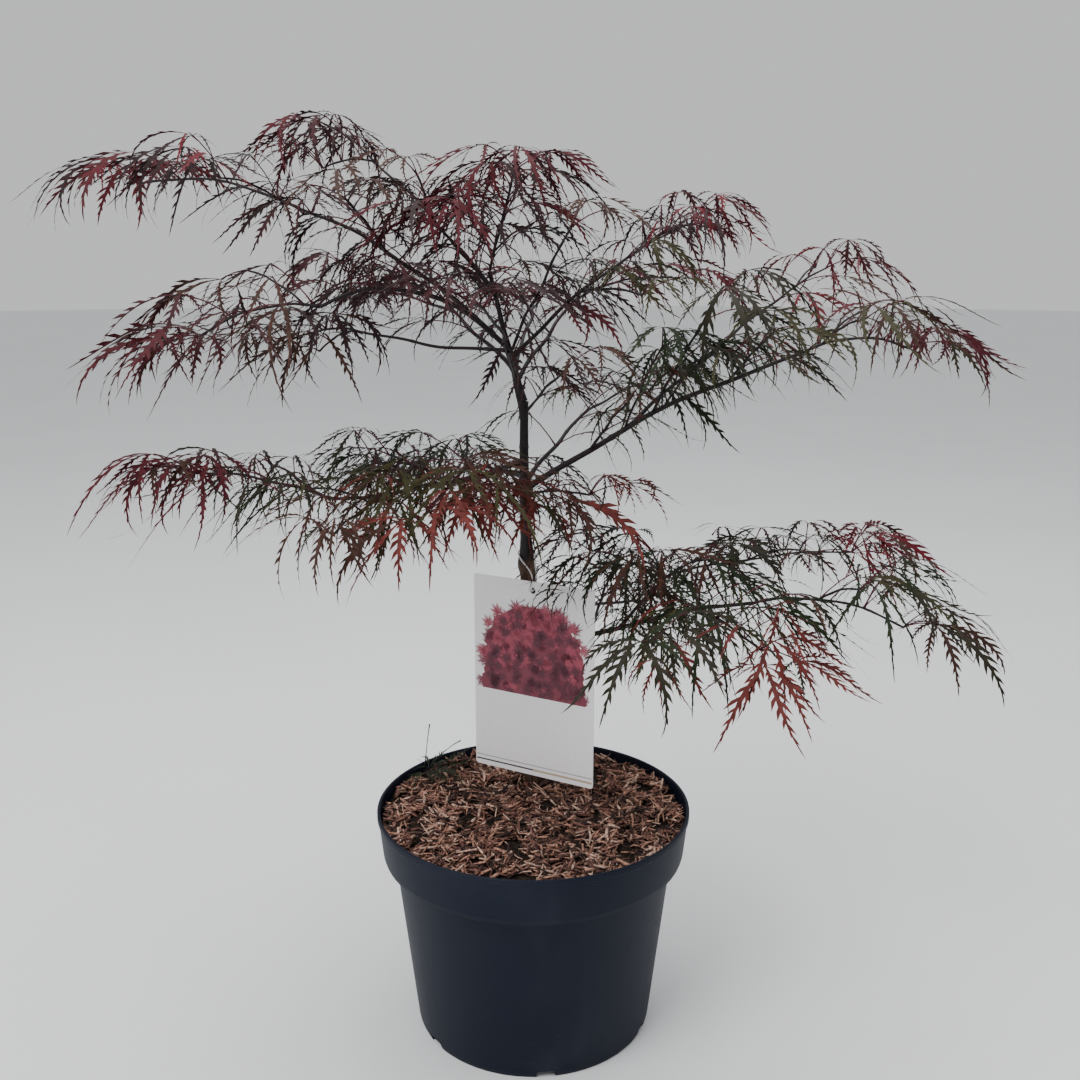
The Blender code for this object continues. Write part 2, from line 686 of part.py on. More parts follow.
def aims(leaf):
    """The leaf as it grew, then turned, lifted and shifted by steps, as it may touch another leaf."""
    stalk = leaf.hub - leaf.foot
    rise = math.degrees(math.asin(stalk.z / stalk.length))
    for length, size in ((1.0, 1.0), (1.4, 1.0), (1.0, 0.85)):
        for lift in (0, 14, -12):
            for turn in (0, 8, -8, 16, -16, 24, -24):
                azimuth = leaf.azimuth + turn
                hub = leaf.foot + length * stalk.length * heading(azimuth, rise + lift)
                yield leaf._replace(hub=hub, azimuth=azimuth, size=size * leaf.size)


def mass_seed(name):
    return sum((i + 1) * ord(letter) for i, letter in enumerate(name))


def leaf_on(foot, azimuth, petiole, size, rnd):
    """A leaf whose stalk rises from foot and whose blade faces away along azimuth."""
    rise = rnd.uniform(14, 46)
    hub = foot + petiole * heading(azimuth, rise)
    size *= rnd.uniform(0.84, 1.08)
    return Leaf(foot, hub, azimuth, size, LEAF_TILT + rnd.uniform(-8, 14), LEAF_HANG + rnd.uniform(-10, 22))


def fan(foot, azimuth, petiole, size, rnd, turns):
    """The leaves at the end of a twig, one for each turn away from azimuth."""
    return [leaf_on(foot, azimuth + turn + rnd.uniform(-8, 8), petiole, size, rnd) for turn in turns]


def twig_from(foot, azimuth, length, rnd):
    """A twig that rises from foot towards azimuth."""
    lift = rnd.uniform(0.2, 0.5) * length
    return ArchPath(foot, azimuth, length, lift, 0.08 * length, TWIG_RADIUS, 0.8 * TWIG_RADIUS, rnd.random())


def grow(name, mass, stem):
    """The seeded rule: shoots in opposite pairs along the stem, each a leaf or a twig with a fan of leaves.

    Returns a list of (twig path or None, its leaves)."""
    rnd = random.Random(mass_seed(name))
    steep = mass.lift > STEEP * mass.reach
    shoots = []
    for node in range(mass.nodes):
        t = (node + 0.45) / (mass.nodes + 0.35)
        fork = 90 if steep else FORK_ANGLE - 14 * t
        facing = mass.azimuth + (90 * node if steep else 0)
        for side in (-1, 1):
            azimuth = facing + side * fork + rnd.uniform(-10, 10)
            length = mass.spread * (1.1 - 0.35 * t) * rnd.uniform(0.85, 1.2)
            if length > LONGEST_PETIOLE:
                twig = twig_from(stem.at(t), azimuth, length, rnd)
                turns = (-FAN_ANGLE / 2, FAN_ANGLE)
                leaves = fan(twig.at(1), azimuth, 0.8 * PETIOLE_LENGTH, mass.leaf, rnd, turns)
                shoots.append((twig, leaves))
            else:
                shoots.append((None, [leaf_on(stem.at(t), azimuth, length, mass.leaf, rnd)]))
    full = (-120, 0, 120) if steep else (-FAN_ANGLE, 0, FAN_ANGLE)
    turns = full if mass.nodes > 1 else (-FAN_ANGLE / 2, FAN_ANGLE / 2)
    shoots.append((None, fan(stem.at(1), mass.azimuth, PETIOLE_LENGTH, mass.leaf, rnd, turns)))
    return shoots


def touches(tree, others):
    return any(tree.overlap(other) for other in others)


def build_mass(name, mass, stem_object, stem, obstacles):
    """Fuses the mass's twigs and leaves to its stem, skipping what would touch anything else."""
    pieces = bpy.data.collections.new(name + "_pieces")
    bpy.context.scene.collection.children.link(pieces)
    placed, blades = [], []
    for twig, leaves in reversed(grow(name, mass, stem)):
        if twig:
            tree = BVHTree.FromBMesh(tube(twig, TWIG_RINGS, TWIG_SIDES, swell=GAP))
            if touches(tree, obstacles + blades):
                continue
            new_object("twig", tube(twig, TWIG_RINGS, TWIG_SIDES), mass.tint, pieces)
            placed.append(tree)
        for leaf in leaves:
            for aim in aims(leaf):
                swollen = leaf_bmesh(aim, swell=GAP)
                tree, blade = BVHTree.FromBMesh(swollen), blade_tree(swollen, aim)
                swollen.free()
                if not touches(tree, obstacles + blades) and not touches(blade, placed):
                    new_object("leaf", leaf_bmesh(aim), mass.tint, pieces)
                    placed.append(tree)
                    blades.append(blade)
                    break
    fuse(stem_object, pieces)
    stem_object.data.materials.clear()
    stem_object.data.materials.append(material(mass.tint))
    return placed


def fuse(obj, pieces):
    """One Boolean union of obj with a collection, whose objects are then removed."""
    union = obj.modifiers.new("fuse", "BOOLEAN")
    union.operation = "UNION"
    union.operand_type = "COLLECTION"
    union.collection = pieces
    union.solver = "EXACT"
    apply_modifiers(obj)
    for piece in list(pieces.objects):
        bpy.data.objects.remove(piece)
    bpy.data.collections.remove(pieces)
    keep_main_body(obj)


def object_tree(obj):
    """A search tree of an object's shape in world space."""
    bm = bmesh.new()
    bm.from_mesh(obj.data)
    bmesh.ops.transform(bm, matrix=obj.matrix_world, verts=bm.verts)
    tree = BVHTree.FromBMesh(bm)
    bm.free()
    return tree


def main():
    clear_scene()
    trunk_path = TrunkPath()
    card = build_label()
    others = [build_pot(), build_fill(), card, build_string(card, trunk_path)]
    bpy.context.view_layer.update()
    trunk_tube = tube(trunk_path, TRUNK_RINGS, TRUNK_SIDES, first_normal=Vector((0, 0, 1)))
    trunk = new_object("trunk", trunk_tube, "bark")
    smooth(trunk)

    paths = {"trunk": trunk_path}
    limbs = {"trunk": (trunk_path, TRUNK_RINGS, TRUNK_SIDES)}
    limb_trees = [object_tree(obj) for obj in others + [trunk]]
    for name, limb in LIMBS.items():
        parent = paths[limb.parent]
        path = path_of(name, limb, parent, limb.radius, limb.tip)
        rings = min(MOST_RINGS, FEWEST_RINGS + int(limb.reach / RING_SPACING))
        obj = fitted_tube(name, path, parent, limb.at, rings, LIMB_SIDES, limbs)
        paths[name] = path
        limbs[name] = (path, rings, LIMB_SIDES)
        limb_trees.append(object_tree(obj))

    stems = {}
    for name, mass in MASSES.items():
        parent = paths[mass.parent]
        radius = min(parent.radius(mass.at), 0.0013)
        stem = path_of(name, mass, parent, radius, 0.75 * radius)
        obj = fitted_tube(name, stem, parent, mass.at, STEM_RINGS, TWIG_SIDES, limbs)
        stems[name] = (obj, stem, object_tree(obj))

    leaf_trees = []
    for name, mass in MASSES.items():
        obj, stem, _ = stems[name]
        other_stems = [tree for other, (_, _, tree) in stems.items() if other != name]
        leaf_trees += build_mass(name, mass, obj, stem, limb_trees + other_stems + leaf_trees)


main()
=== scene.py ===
"""The looks of a potted laceleaf maple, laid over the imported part. Metres, +Z up.

It is laid out as an add-on and run as a script. The twigs and leaves grow by the part's own seeded rule,
so each leaf of a foliage mass hangs where the part has one, and finer shoots fill in between them.
"""

import json
import math
import random
from collections import defaultdict, namedtuple

import bmesh
import bpy
import numpy as np
from bpy.props import FloatProperty, FloatVectorProperty, IntProperty, PointerProperty
from bpy.types import Operator, Panel, PropertyGroup
from mathutils import Matrix, Vector, noise
from mathutils.bvhtree import BVHTree

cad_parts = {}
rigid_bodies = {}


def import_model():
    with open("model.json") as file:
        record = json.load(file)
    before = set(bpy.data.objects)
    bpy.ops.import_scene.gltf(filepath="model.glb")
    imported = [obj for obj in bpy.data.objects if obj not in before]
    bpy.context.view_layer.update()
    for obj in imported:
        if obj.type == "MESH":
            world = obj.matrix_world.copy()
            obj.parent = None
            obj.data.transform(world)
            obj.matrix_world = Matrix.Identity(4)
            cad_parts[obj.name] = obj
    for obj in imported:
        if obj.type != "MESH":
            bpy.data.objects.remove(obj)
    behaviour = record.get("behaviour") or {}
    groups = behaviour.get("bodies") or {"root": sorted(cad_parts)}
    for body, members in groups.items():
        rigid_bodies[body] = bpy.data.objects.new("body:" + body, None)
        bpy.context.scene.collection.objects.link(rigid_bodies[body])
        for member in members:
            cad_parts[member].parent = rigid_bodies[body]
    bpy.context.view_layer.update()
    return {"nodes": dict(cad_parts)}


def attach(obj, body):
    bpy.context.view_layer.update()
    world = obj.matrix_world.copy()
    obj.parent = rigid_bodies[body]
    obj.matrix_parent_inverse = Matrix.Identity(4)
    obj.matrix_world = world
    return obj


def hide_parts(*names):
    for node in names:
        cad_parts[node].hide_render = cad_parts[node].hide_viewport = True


bl_info = {
    "name": "Potted laceleaf maple",
    "version": (1, 0, 0),
    "blender": (4, 5, 0),
    "location": "3D View > Sidebar > Maple",
    "description": "Builds the pot, mulch, trunk, boughs, foliage and plant label",
    "category": "Add Mesh",
}

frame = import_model()

# Pot, as the part has it
COLLAR_FOOT_RADIUS = 0.1355
SHOULDER_DROP = 0.006
BODY_TOP_RADIUS = 0.1245
BASE_RADIUS = 0.107
BASE_INSET = 0.0015
EDGE_RISE = 0.0035
RIM_LIP = 0.0026
RIM_BEAD = 0.0050
STEP_OUT = 0.0012
STEP_UP = 0.0015
FLOOR_TOP = 0.0085
RECESS_DEPTH = 0.004
BOSS_RADIUS = 0.030
FOOT_RING_RADIUS = 0.090
NOTCH_COUNT = 6
NOTCH_WIDTH = 0.016
NOTCH_HEIGHT = 0.006
NOTCH_DEPTH = 0.036
NOTCH_INSET = 0.008
NOTCH_ROUND = 0.0025
NOTCH_FIRST_DEG = -84.0

# Fill under the chips
FILL_TOP = 0.2045
FILL_EDGE_TOP = 0.1940
FILL_FLAT_RADIUS = 0.062
FILL_EDGE_RADIUS = 0.1364
FILL_SIDES = ((0.1215, 0.155), (0.1330, 0.168))
COMPOST_DROP = 0.0015
CRUMBS_FROM = 0.185
CRUMBS = ((160, 0.0016), (420, 0.0010))  # how fine, how high
TRUNK_CLEARING = 0.0095

# Bark chips: their shape and how they lie. Pairs are the least and most.
CHIP_SEED = 41
CHIP_WIDTH = (0.045, 0.15)  # of the length
CHIP_DEPTH = (0.35, 0.85)  # of the width
CHIP_TAPER = (0.12, 0.75)
CHIP_SLANT = (-0.12, 0.12)
CHIP_BEND = 0.07
CHIP_SECTION = ((-0.5, -0.5), (0.5, -0.5), (0.42, 0.5), (-0.42, 0.5))
LEAST_WIDTH = 0.0006
MOST_DEPTH = 0.0022
CHIP_PITCH, CHIP_ROLL = 0.32, 0.60
UPENDED_SHARE = 0.07
UPENDED_PITCH = (-0.8, 0.8)
BARE_PATCHES = 44  # how fine
CHIP_SHARES = {"rust": 0.26, "tan": 0.15, "russet": 0.23, "umber": 0.16, "cocoa": 0.20}

GAP = 0.0003
ROUND_STEPS = 128

# Trunk: a rootstock up to the graft union, then the leader up to the fork
TRUNK_HEIGHT = 0.3625
TRUNK_FOOT = (0.003, 0.045)
TRUNK_HEAD = (-0.007, 0.0)
UNION_AT = 0.605
FLARE_RUN = 0.035
SMOOTH_FROM = 0.64
RINGS_FROM = 0.66
TRUNK_GIRTH = (  # share of the height, radius
    (0.00, 0.0120),
    (0.07, 0.0075),
    (0.15, 0.0062),
    (0.50, 0.0056),
    (0.57, 0.0066),
    (0.62, 0.0068),
    (0.68, 0.0046),
    (1.00, 0.0034),
)

# Boughs. azimuth is in plan, anticlockwise from +X; reach is level, lift is upwards, arch is how far the
# middle stands above the straight line; radius is at the foot and tip at the end.
WANDER = 0.010
RING_SPACING = 0.034
RING_WIDTH = 0.0011
COLLAR_RUN = 0.006
RING_STEP = 0.0035
STEM_STEP = 0.006
Limb = namedtuple("Limb", "parent at azimuth reach lift arch radius tip")
LIMBS = {
    "left_leader": Limb("trunk", 1.00, 180, 0.015, 0.045, 0.000, 0.0030, 0.0025),
    "right_leader": Limb("trunk", 0.96, 160, 0.030, 0.120, 0.003, 0.0026, 0.0018),
    "mid_left_bough": Limb("left_leader", 1.00, -154, 0.155, 0.035, 0.028, 0.0023, 0.0014),
    "mid_left_lower_bough": Limb("left_leader", 0.93, 162, 0.145, 0.015, -0.004, 0.0015, 0.0011),
    "upper_left_bough": Limb("mid_left_bough", 0.07, 172, 0.160, 0.100, 0.012, 0.0020, 0.0013),
    "top_left_bough": Limb("right_leader", 0.85, 158, 0.110, 0.105, 0.006, 0.0014, 0.0010),
    "right_upper_bough": Limb("left_leader", 0.75, 26, 0.115, 0.085, 0.006, 0.0018, 0.0012),
    "right_bough": Limb("trunk", 0.79, -14, 0.225, 0.120, 0.010, 0.0027, 0.0014),
    "right_branch": Limb("right_bough", 0.40, 32, 0.160, 0.100, 0.004, 0.0017, 0.0011),
    "lower_left_bough": Limb("trunk", 0.86, -158, 0.165, -0.020, -0.006, 0.0023, 0.0013),
    "lower_right_bough": Limb("trunk", 0.36, -34, 0.210, 0.085, 0.008, 0.0026, 0.0014),
    "lower_right_riser": Limb("lower_right_bough", 0.42, 5, 0.040, 0.045, 0.002, 0.0015, 0.0011),
    "back_left_bough": Limb("left_leader", 0.60, 118, 0.215, 0.050, 0.010, 0.0019, 0.0012),
    "back_centre_bough": Limb("left_leader", 0.50, 84, 0.175, 0.050, 0.010, 0.0018, 0.0012),
    "back_right_bough": Limb("right_leader", 0.22, 68, 0.180, 0.070, 0.010, 0.0019, 0.0012),
    "back_low_bough": Limb("trunk", 0.80, 62, 0.165, 0.055, 0.010, 0.0020, 0.0012),
    "back_low_left_bough": Limb("trunk", 0.82, 120, 0.170, -0.030, 0.010, 0.0020, 0.0012),
    "back_low_right_bough": Limb("trunk", 0.42, 48, 0.160, -0.005, 0.010, 0.0020, 0.0012),
    "front_bough": Limb("left_leader", 0.45, -98, 0.120, 0.055, 0.008, 0.0016, 0.0011),
}

# Foliage masses, and the tints of each from its foot to its tips.
Mass = namedtuple("Mass", "parent at azimuth reach lift arch nodes spread leaf tints")


def mass(*row):
    return Mass(*row[:-1], row[-1].split())


MASSES = {
    "upper_left_tip": mass(
        "upper_left_bough", 1.00, 174, 0.135, 0.020, 0.012, 3, 0.042, 0.090, "plum plum crimson scarlet"
    ),
    "left_shoulder": mass(
        "upper_left_bough", 0.55, -125, 0.045, 0.040, 0.002, 1, 0.036, 0.082, "plum plum bronze"
    ),
    "top_left": mass("top_left_bough", 1.00, 165, 0.045, -0.005, 0.004, 2, 0.038, 0.082, "plum wine crimson"),
    "top_left_inner": mass("top_left_bough", 0.50, -140, 0.015, 0.035, 0.002, 1, 0.034, 0.080, "plum bronze"),
    "top_centre": mass("right_leader", 1.00, -30, 0.025, 0.080, 0.000, 2, 0.043, 0.080, "plum crimson"),
    "upper_middle": mass("right_leader", 0.80, -130, 0.065, 0.055, 0.003, 1, 0.040, 0.082, "plum crimson"),
    "centre": mass("right_leader", 0.42, -50, 0.075, 0.100, 0.004, 1, 0.040, 0.082, "plum bronze"),
    "centre_right": mass("trunk", 0.97, -60, 0.070, 0.045, 0.002, 1, 0.032, 0.070, "plum bronze bronze"),
    "left_inner": mass("mid_left_bough", 0.42, 130, 0.035, 0.010, 0.002, 1, 0.036, 0.080, "plum wine"),
    "mid_left_tip": mass(
        "mid_left_bough", 1.00, -160, 0.090, -0.020, 0.010, 3, 0.042, 0.088, "plum bronze wine crimson"
    ),
    "mid_left_lower": mass(
        "mid_left_lower_bough", 1.00, -155, 0.055, -0.010, 0.003, 1, 0.040, 0.082, "plum bronze"
    ),
    "right_top": mass(
        "right_upper_bough", 1.00, 10, 0.050, 0.025, 0.002, 2, 0.038, 0.082, "plum crimson scarlet"
    ),
    "right_mid": mass("right_upper_bough", 0.55, -50, 0.075, 0.000, 0.004, 1, 0.038, 0.080, "moss olive"),
    "right_upper_tip": mass(
        "right_branch", 1.00, 10, 0.040, 0.025, 0.002, 1, 0.040, 0.082, "bronze scarlet crimson"
    ),
    "right_tip": mass("right_bough", 1.00, -10, 0.080, 0.005, 0.010, 2, 0.044, 0.088, "olive bronze crimson"),
    "right_inner": mass("right_bough", 0.48, -60, 0.080, 0.095, 0.002, 1, 0.044, 0.088, "moss green moss"),
    "right_under": mass("right_bough", 0.25, -60, 0.060, 0.050, 0.002, 1, 0.034, 0.068, "moss bronze"),
    "right_middle": mass("right_bough", 0.75, -70, 0.070, 0.045, 0.002, 1, 0.036, 0.082, "moss olive"),
    "lower_left_tip": mass(
        "lower_left_bough", 1.00, -168, 0.105, 0.025, 0.006, 3, 0.038, 0.090, "moss bronze crimson"
    ),
    "lower_left_top": mass("lower_left_bough", 0.40, 160, 0.055, 0.020, 0.002, 1, 0.042, 0.080, "moss plum"),
    "lower_left_front": mass(
        "lower_left_bough", 0.35, -102, 0.105, -0.010, 0.004, 1, 0.042, 0.088, "olive bronze ember"
    ),
    "lower_left_hanging": mass(
        "lower_left_bough", 0.72, -106, 0.105, -0.010, 0.003, 1, 0.042, 0.090, "olive green bronze"
    ),
    "centre_spray": mass("trunk", 0.78, -45, 0.075, 0.010, 0.003, 1, 0.026, 0.062, "moss bronze ember"),
    "lower_right_upper": mass(
        "lower_right_riser", 1.00, 14, 0.170, 0.010, 0.006, 3, 0.042, 0.088, "bronze moss bronze scarlet"
    ),
    "lower_right_inner": mass(
        "lower_right_bough", 0.28, -65, 0.035, 0.060, 0.003, 2, 0.040, 0.080, "bronze green moss"
    ),
    "lower_right_tip": mass(
        "lower_right_bough", 1.00, -8, 0.115, -0.015, 0.012, 3, 0.042, 0.088, "moss green olive bronze"
    ),
    "lower_right_front": mass(
        "lower_right_bough", 0.75, -65, 0.095, -0.005, 0.004, 1, 0.044, 0.090, "green olive ember"
    ),
    "lower_right_low": mass(
        "lower_right_bough", 0.45, -86, 0.140, 0.030, 0.003, 1, 0.042, 0.090, "green moss"
    ),
    "back_left_tip": mass("back_left_bough", 1.00, 132, 0.110, -0.005, 0.006, 1, 0.042, 0.090, "plum wine"),
    "back_centre_tip": mass(
        "back_centre_bough", 1.00, 95, 0.080, 0.000, 0.006, 1, 0.042, 0.090, "plum crimson"
    ),
    "back_right_tip": mass(
        "back_right_bough", 1.00, 35, 0.110, 0.010, 0.006, 1, 0.042, 0.090, "plum crimson"
    ),
    "back_low_tip": mass("back_low_bough", 1.00, 55, 0.095, 0.005, 0.006, 1, 0.042, 0.090, "moss olive"),
    "back_low_left_tip": mass(
        "back_low_left_bough", 1.00, 128, 0.100, -0.020, 0.006, 1, 0.042, 0.090, "moss green"
    ),
    "back_low_right_tip": mass(
        "back_low_right_bough", 1.00, 46, 0.110, -0.015, 0.006, 1, 0.042, 0.090, "moss green"
    ),
    "front_tip": mass("front_bough", 1.00, -105, 0.045, 0.010, 0.004, 1, 0.036, 0.080, "plum wine"),
}

# How full a mass or bough is: the share of its finer leaves that grow, and the size of all its leaves
FULLNESS = {
    "upper_left_tip": (0.20, 0.95),
    "left_shoulder": (0.15, 0.78),
    "top_left": (0.00, 0.80),
    "top_left_inner": (0.05, 0.72),
    "top_left_bough": (0.10, 0.84),
    "upper_left_bough": (0.40, 0.92),
    "mid_left_bough": (0.60, 0.95),
    "mid_left_tip": (0.12, 0.98),
    "mid_left_lower": (0.20, 1.00),
    "mid_left_lower_bough": (0.50, 1.00),
    "left_inner": (0.15, 0.80),
    "back_left_tip": (0.45, 0.88),
    "back_left_bough": (0.80, 0.95),
    "front_tip": (0.15, 0.80),
    "front_bough": (0.30, 0.82),
    "centre": (0.00, 0.80),
    "back_centre_bough": (0.45, 0.92),
    "centre_right": (0.00, 0.78),
    "right_mid": (0.00, 0.68),
    "back_right_tip": (0.25, 0.80),
    "right_top": (0.45, 0.86),
    "right_inner": (0.35, 0.78),
    "right_middle": (0.25, 0.82),
    "right_bough": (0.25, 0.86),
    "right_under": (0.00, 0.68),
    "right_tip": (0.25, 0.84),
    "right_upper_tip": (0.40, 0.92),
    "right_branch": (0.40, 1.00),
    "back_low_tip": (0.30, 0.84),
    "back_low_bough": (0.60, 0.86),
    "lower_left_tip": (0.50, 0.86),
    "lower_left_bough": (0.50, 0.90),
    "lower_left_top": (0.00, 0.70),
    "lower_left_hanging": (0.40, 0.76),
    "lower_left_front": (1.00, 1.05),
    "back_low_left_tip": (0.50, 0.84),
    "back_low_left_bough": (1.00, 0.95),
    "back_low_right_tip": (0.55, 0.90),
    "lower_right_tip": (0.30, 0.86),
    "lower_right_inner": (0.20, 0.76),
    "lower_right_low": (0.10, 0.84),
    "lower_right_front": (1.00, 0.92),
    "lower_right_upper": (0.65, 0.88),
    "back_centre_tip": (0.30, 0.82),
    "back_right_bough": (0.35, 0.90),
    "right_upper_bough": (0.60, 0.92),
    "lower_right_bough": (0.60, 0.92),
    "back_low_right_bough": (0.70, 0.90),
    "upper_middle": (0.60, 0.92),
    "centre_spray": (0.40, 0.86),
}
FULL = (1.0, 1.0)

# How much lower than in the part a mass's main leaves hang
SINK = {
    "top_left": -0.010,
    "mid_left_tip": 0.020,
    "mid_left_lower": 0.006,
    "right_inner": 0.002,
    "right_tip": 0.004,
    "lower_left_tip": 0.006,
    "lower_left_hanging": 0.002,
    "lower_left_front": 0.014,
    "lower_right_tip": 0.002,
    "lower_right_inner": -0.008,
    "lower_right_front": 0.012,
}

# Leafy twigs between the masses
Spray = namedtuple("Spray", "parent at azimuth reach lift tints")


def spray(*row):
    return Spray(*row[:-1], row[-1].split())


SPRAYS = {
    "top_left_rise": spray("top_left_bough", 0.95, 172, 0.045, 0.034, "wine crimson"),
    "upper_left_hanging": spray("upper_left_bough", 0.90, -118, 0.026, -0.002, "plum wine"),
    "lower_left_fringe": spray("lower_left_bough", 0.50, -112, 0.060, -0.012, "olive bronze ember"),
    "lower_left_inner_fringe": spray("lower_left_bough", 0.22, -95, 0.065, -0.008, "bronze olive ember"),
    "ridge_left": spray("lower_right_riser", 0.85, 172, 0.060, 0.026, "bronze moss bronze"),
    "ridge_front": spray("lower_right_riser", 0.90, -115, 0.045, 0.026, "moss green bronze"),
    "ridge_back": spray("lower_right_riser", 0.95, 110, 0.045, 0.020, "bronze moss"),
    "ridge_far": spray("lower_right_riser", 0.98, 12, 0.065, 0.016, "bronze moss"),
    "ridge_right": spray("lower_right_riser", 0.98, -40, 0.045, 0.022, "bronze moss green"),
    "low_front": spray("lower_right_bough", 0.62, -95, 0.075, -0.014, "green olive ember"),
    "trunk_front": spray("trunk", 0.80, -110, 0.050, 0.005, "olive bronze ember"),
    "trunk_left": spray("trunk", 0.83, -150, 0.045, 0.000, "olive bronze moss"),
    "trunk_right": spray("trunk", 0.75, -65, 0.050, 0.004, "moss bronze ember"),
    "inner_rise": spray("right_bough", 0.38, -55, 0.045, 0.070, "moss green green"),
    "inner_rise_back": spray("right_bough", 0.52, 10, 0.040, 0.045, "moss green"),
    "lower_bough_hanging": spray("mid_left_lower_bough", 0.95, -130, 0.040, -0.015, "plum bronze"),
}
SPRAY_REACH = 0.034
SPRAY_LEAF = 0.086
SPRAY_FANS = ((0.35, (-70, 70)), (0.70, (-55, 55)), (1.0, (-40, 0, 40)))
SPUR_LEAF = 0.082

# Sizes and angles that the twigs and leaves grow by
STEEP = 1.4  # lift over reach
BACKWARDS = 0.6  # of a heading's length, towards +Y
TIP_THINNING = 0.4
STEM_RADIUS = 0.0013
TWIG_RADIUS = 0.0010
FORK_ANGLE = 54
FAN_ANGLE = 42
LONGEST_PETIOLE = 0.045
PETIOLE_LENGTH = 0.030
LEAF_TILT = -12
LEAF_HANG = -78
LEAF_RISE = (14, 46)  # least and most, as in the next four
LEAF_SCALE = (0.84, 1.08)
TILT_SPREAD = (-8, 14)
HANG_SPREAD = (-10, 22)
INFILL_RISE = (5, 50)

# The steps that a leaf may take to clear the limbs, and how near to the part's own it has to end
AIM_SIZES = ((1.0, 1.0), (1.4, 1.0), (1.0, 0.85))  # its stalk, its blade
AIM_LIFTS = (0, 14, -12)
AIM_TURNS = (0, 8, -8, 16, -16, 24, -24)
SAME_PLACE = 0.0002
INFILL_SIZES = (1.0, 0.8, 0.64)
INFILL_TURNS = (0, 18, -18, 36, -36)

# Leaf tints: colour of the upper side, and the record's slot that it belongs to
TINTS = {
    "scarlet": ((0.094, 0.006, 0.012), "crimson"),
    "crimson": ((0.058, 0.006, 0.010), "crimson"),
    "wine": ((0.033, 0.007, 0.009), "maroon"),
    "plum": ((0.020, 0.008, 0.009), "maroon"),
    "bronze": ((0.038, 0.015, 0.010), "bronze"),
    "olive": ((0.030, 0.027, 0.009), "olive"),
    "moss": ((0.017, 0.015, 0.008), "olive"),
    "green": ((0.011, 0.018, 0.006), "green"),
    "ember": ((0.098, 0.019, 0.016), "ember"),
}

# A leaf's lobes: the direction of each, and its length beside the middle one. Then one lobe: how wide its
# blade is and how far its teeth stand out, as shares of its length.
LOBES = ((-104, 0.42), (-68, 0.68), (-31, 0.92), (0, 1.00), (31, 0.92), (68, 0.68), (104, 0.42))
BLADE_HALF_WIDTH = ((0.00, 0.007), (0.10, 0.011), (0.26, 0.024), (0.46, 0.026), (0.70, 0.013), (1.0, 0.005))
TOOTH_REACH = ((0.12, 0.022), (0.25, 0.066), (0.42, 0.084), (0.60, 0.052), (0.74, 0.022), (0.90, 0.008))
TEETH = 14
OUTLINES = 5
BROAD, MIDDLE, FINE = 0.74, 0.46, 0.22
LOBE_STEPS = 20
TAIL_CURL = 1.3
MIXED_SHARE = 0.25  # of the lobes, in another of the mass's tints

# How unevenly lobes grow: the least and most of each
LOBE_SCALE = (0.98, 1.24)
LOBE_TURN = (-6, 6)
LOBE_TILT = (-4, 26)
LOBE_HANG = (-16, 8)
LOBE_CURVE = (0.70, 1.15)
LOBE_CURL = (-0.6, 1.0)
LOBE_TWIST = (-50, 50)
LOBE_FOLD = (0, 34)
LOBE_BEND = (-0.20, 0.20)
TAIL_BEND = (-0.16, 0.16)
ROLL_SPREAD = 24

# Tubes
STALK_GIRTH = (  # place along the stalk, radius
    (0.0, 0.0009),
    (0.2, 0.00055),
    (0.5, 0.0005),
    (0.8, 0.0005),
    (1.0, 0.0008),
)
SKEW = (0.31, 0.17, 0.94)  # a direction that nothing grows in

# The fallen sprig: its foot, then its leaves and its bare stalks
SPRIG_SEED = 12
SPRIG_FOOT = (-0.104, 0.060, 0.2062)
SPRIG_LEAVES = ((15, 0.016, 0.044), (-35, 0.014, 0.042), (-80, 0.010, 0.040), (60, 0.008, 0.036))
SPRIG_STALKS = ((75, 68, 0.046), (40, 26, 0.048))

# Plant label
CARD_WIDTH = 0.118
CARD_HEIGHT = 0.178
CARD_THICKNESS = 0.0010
CARD_TOP = 0.415
CARD_YAW = -29.0
CARD_Y = -0.0120
CARD_CORNER = 0.0025
CARD_HOLE_RADIUS = 0.0028
CARD_HOLE_DROP = 0.008
STRING_RADIUS = 0.0006
STRING_TOP = 0.437
STRING_STAND_OFF = 0.0022
STRING_SLOPE = 25
STRING_FRONT = (  # out from the card and up, both from its hole
    (0, 0),
    (0.0025, 0.001),
    (0.0026, 0.7 * CARD_HOLE_DROP),
    (0.0005, CARD_HOLE_DROP + 0.0025),
)
STRING_BACK = (-0.0045, 0.002)
STRING_ROUND = (200, 145, 90, 35, -20)  # directions from the trunk

# Its print, measured down from the card's top edge: a rounded bush over three thin rules
PRINT_SEED = 23
PRINT_FOOT = -0.104
PRINT_TOP = -0.023
PRINT_LIMIT = -0.0135
PRINT_MARGIN = 0.0005
PRINT_HALF_WIDTH = (  # share of the bush's height, share of the card's width
    (0.00, 0.47),
    (0.12, 0.45),
    (0.40, 0.44),
    (0.65, 0.41),
    (0.82, 0.34),
    (0.94, 0.22),
    (1.00, 0.10),
)
PRINT_LAYERS = (  # name, size of a leaf, how likely one is at the foot and at the top, lift off the card
    ("mid_print", 0.0125, (0.9, 0.9), 0.00008),
    ("light_print", 0.0115, (0.0, 1.1), 0.00012),
    ("dark_print", 0.0100, (1.2, 0.0), 0.00016),
)
PRINT_ROWS, PRINT_COLUMNS = 12, 8
PRINT_LIFT = 0.00004
RULE_EDGE = CARD_WIDTH / 2 - 0.0008
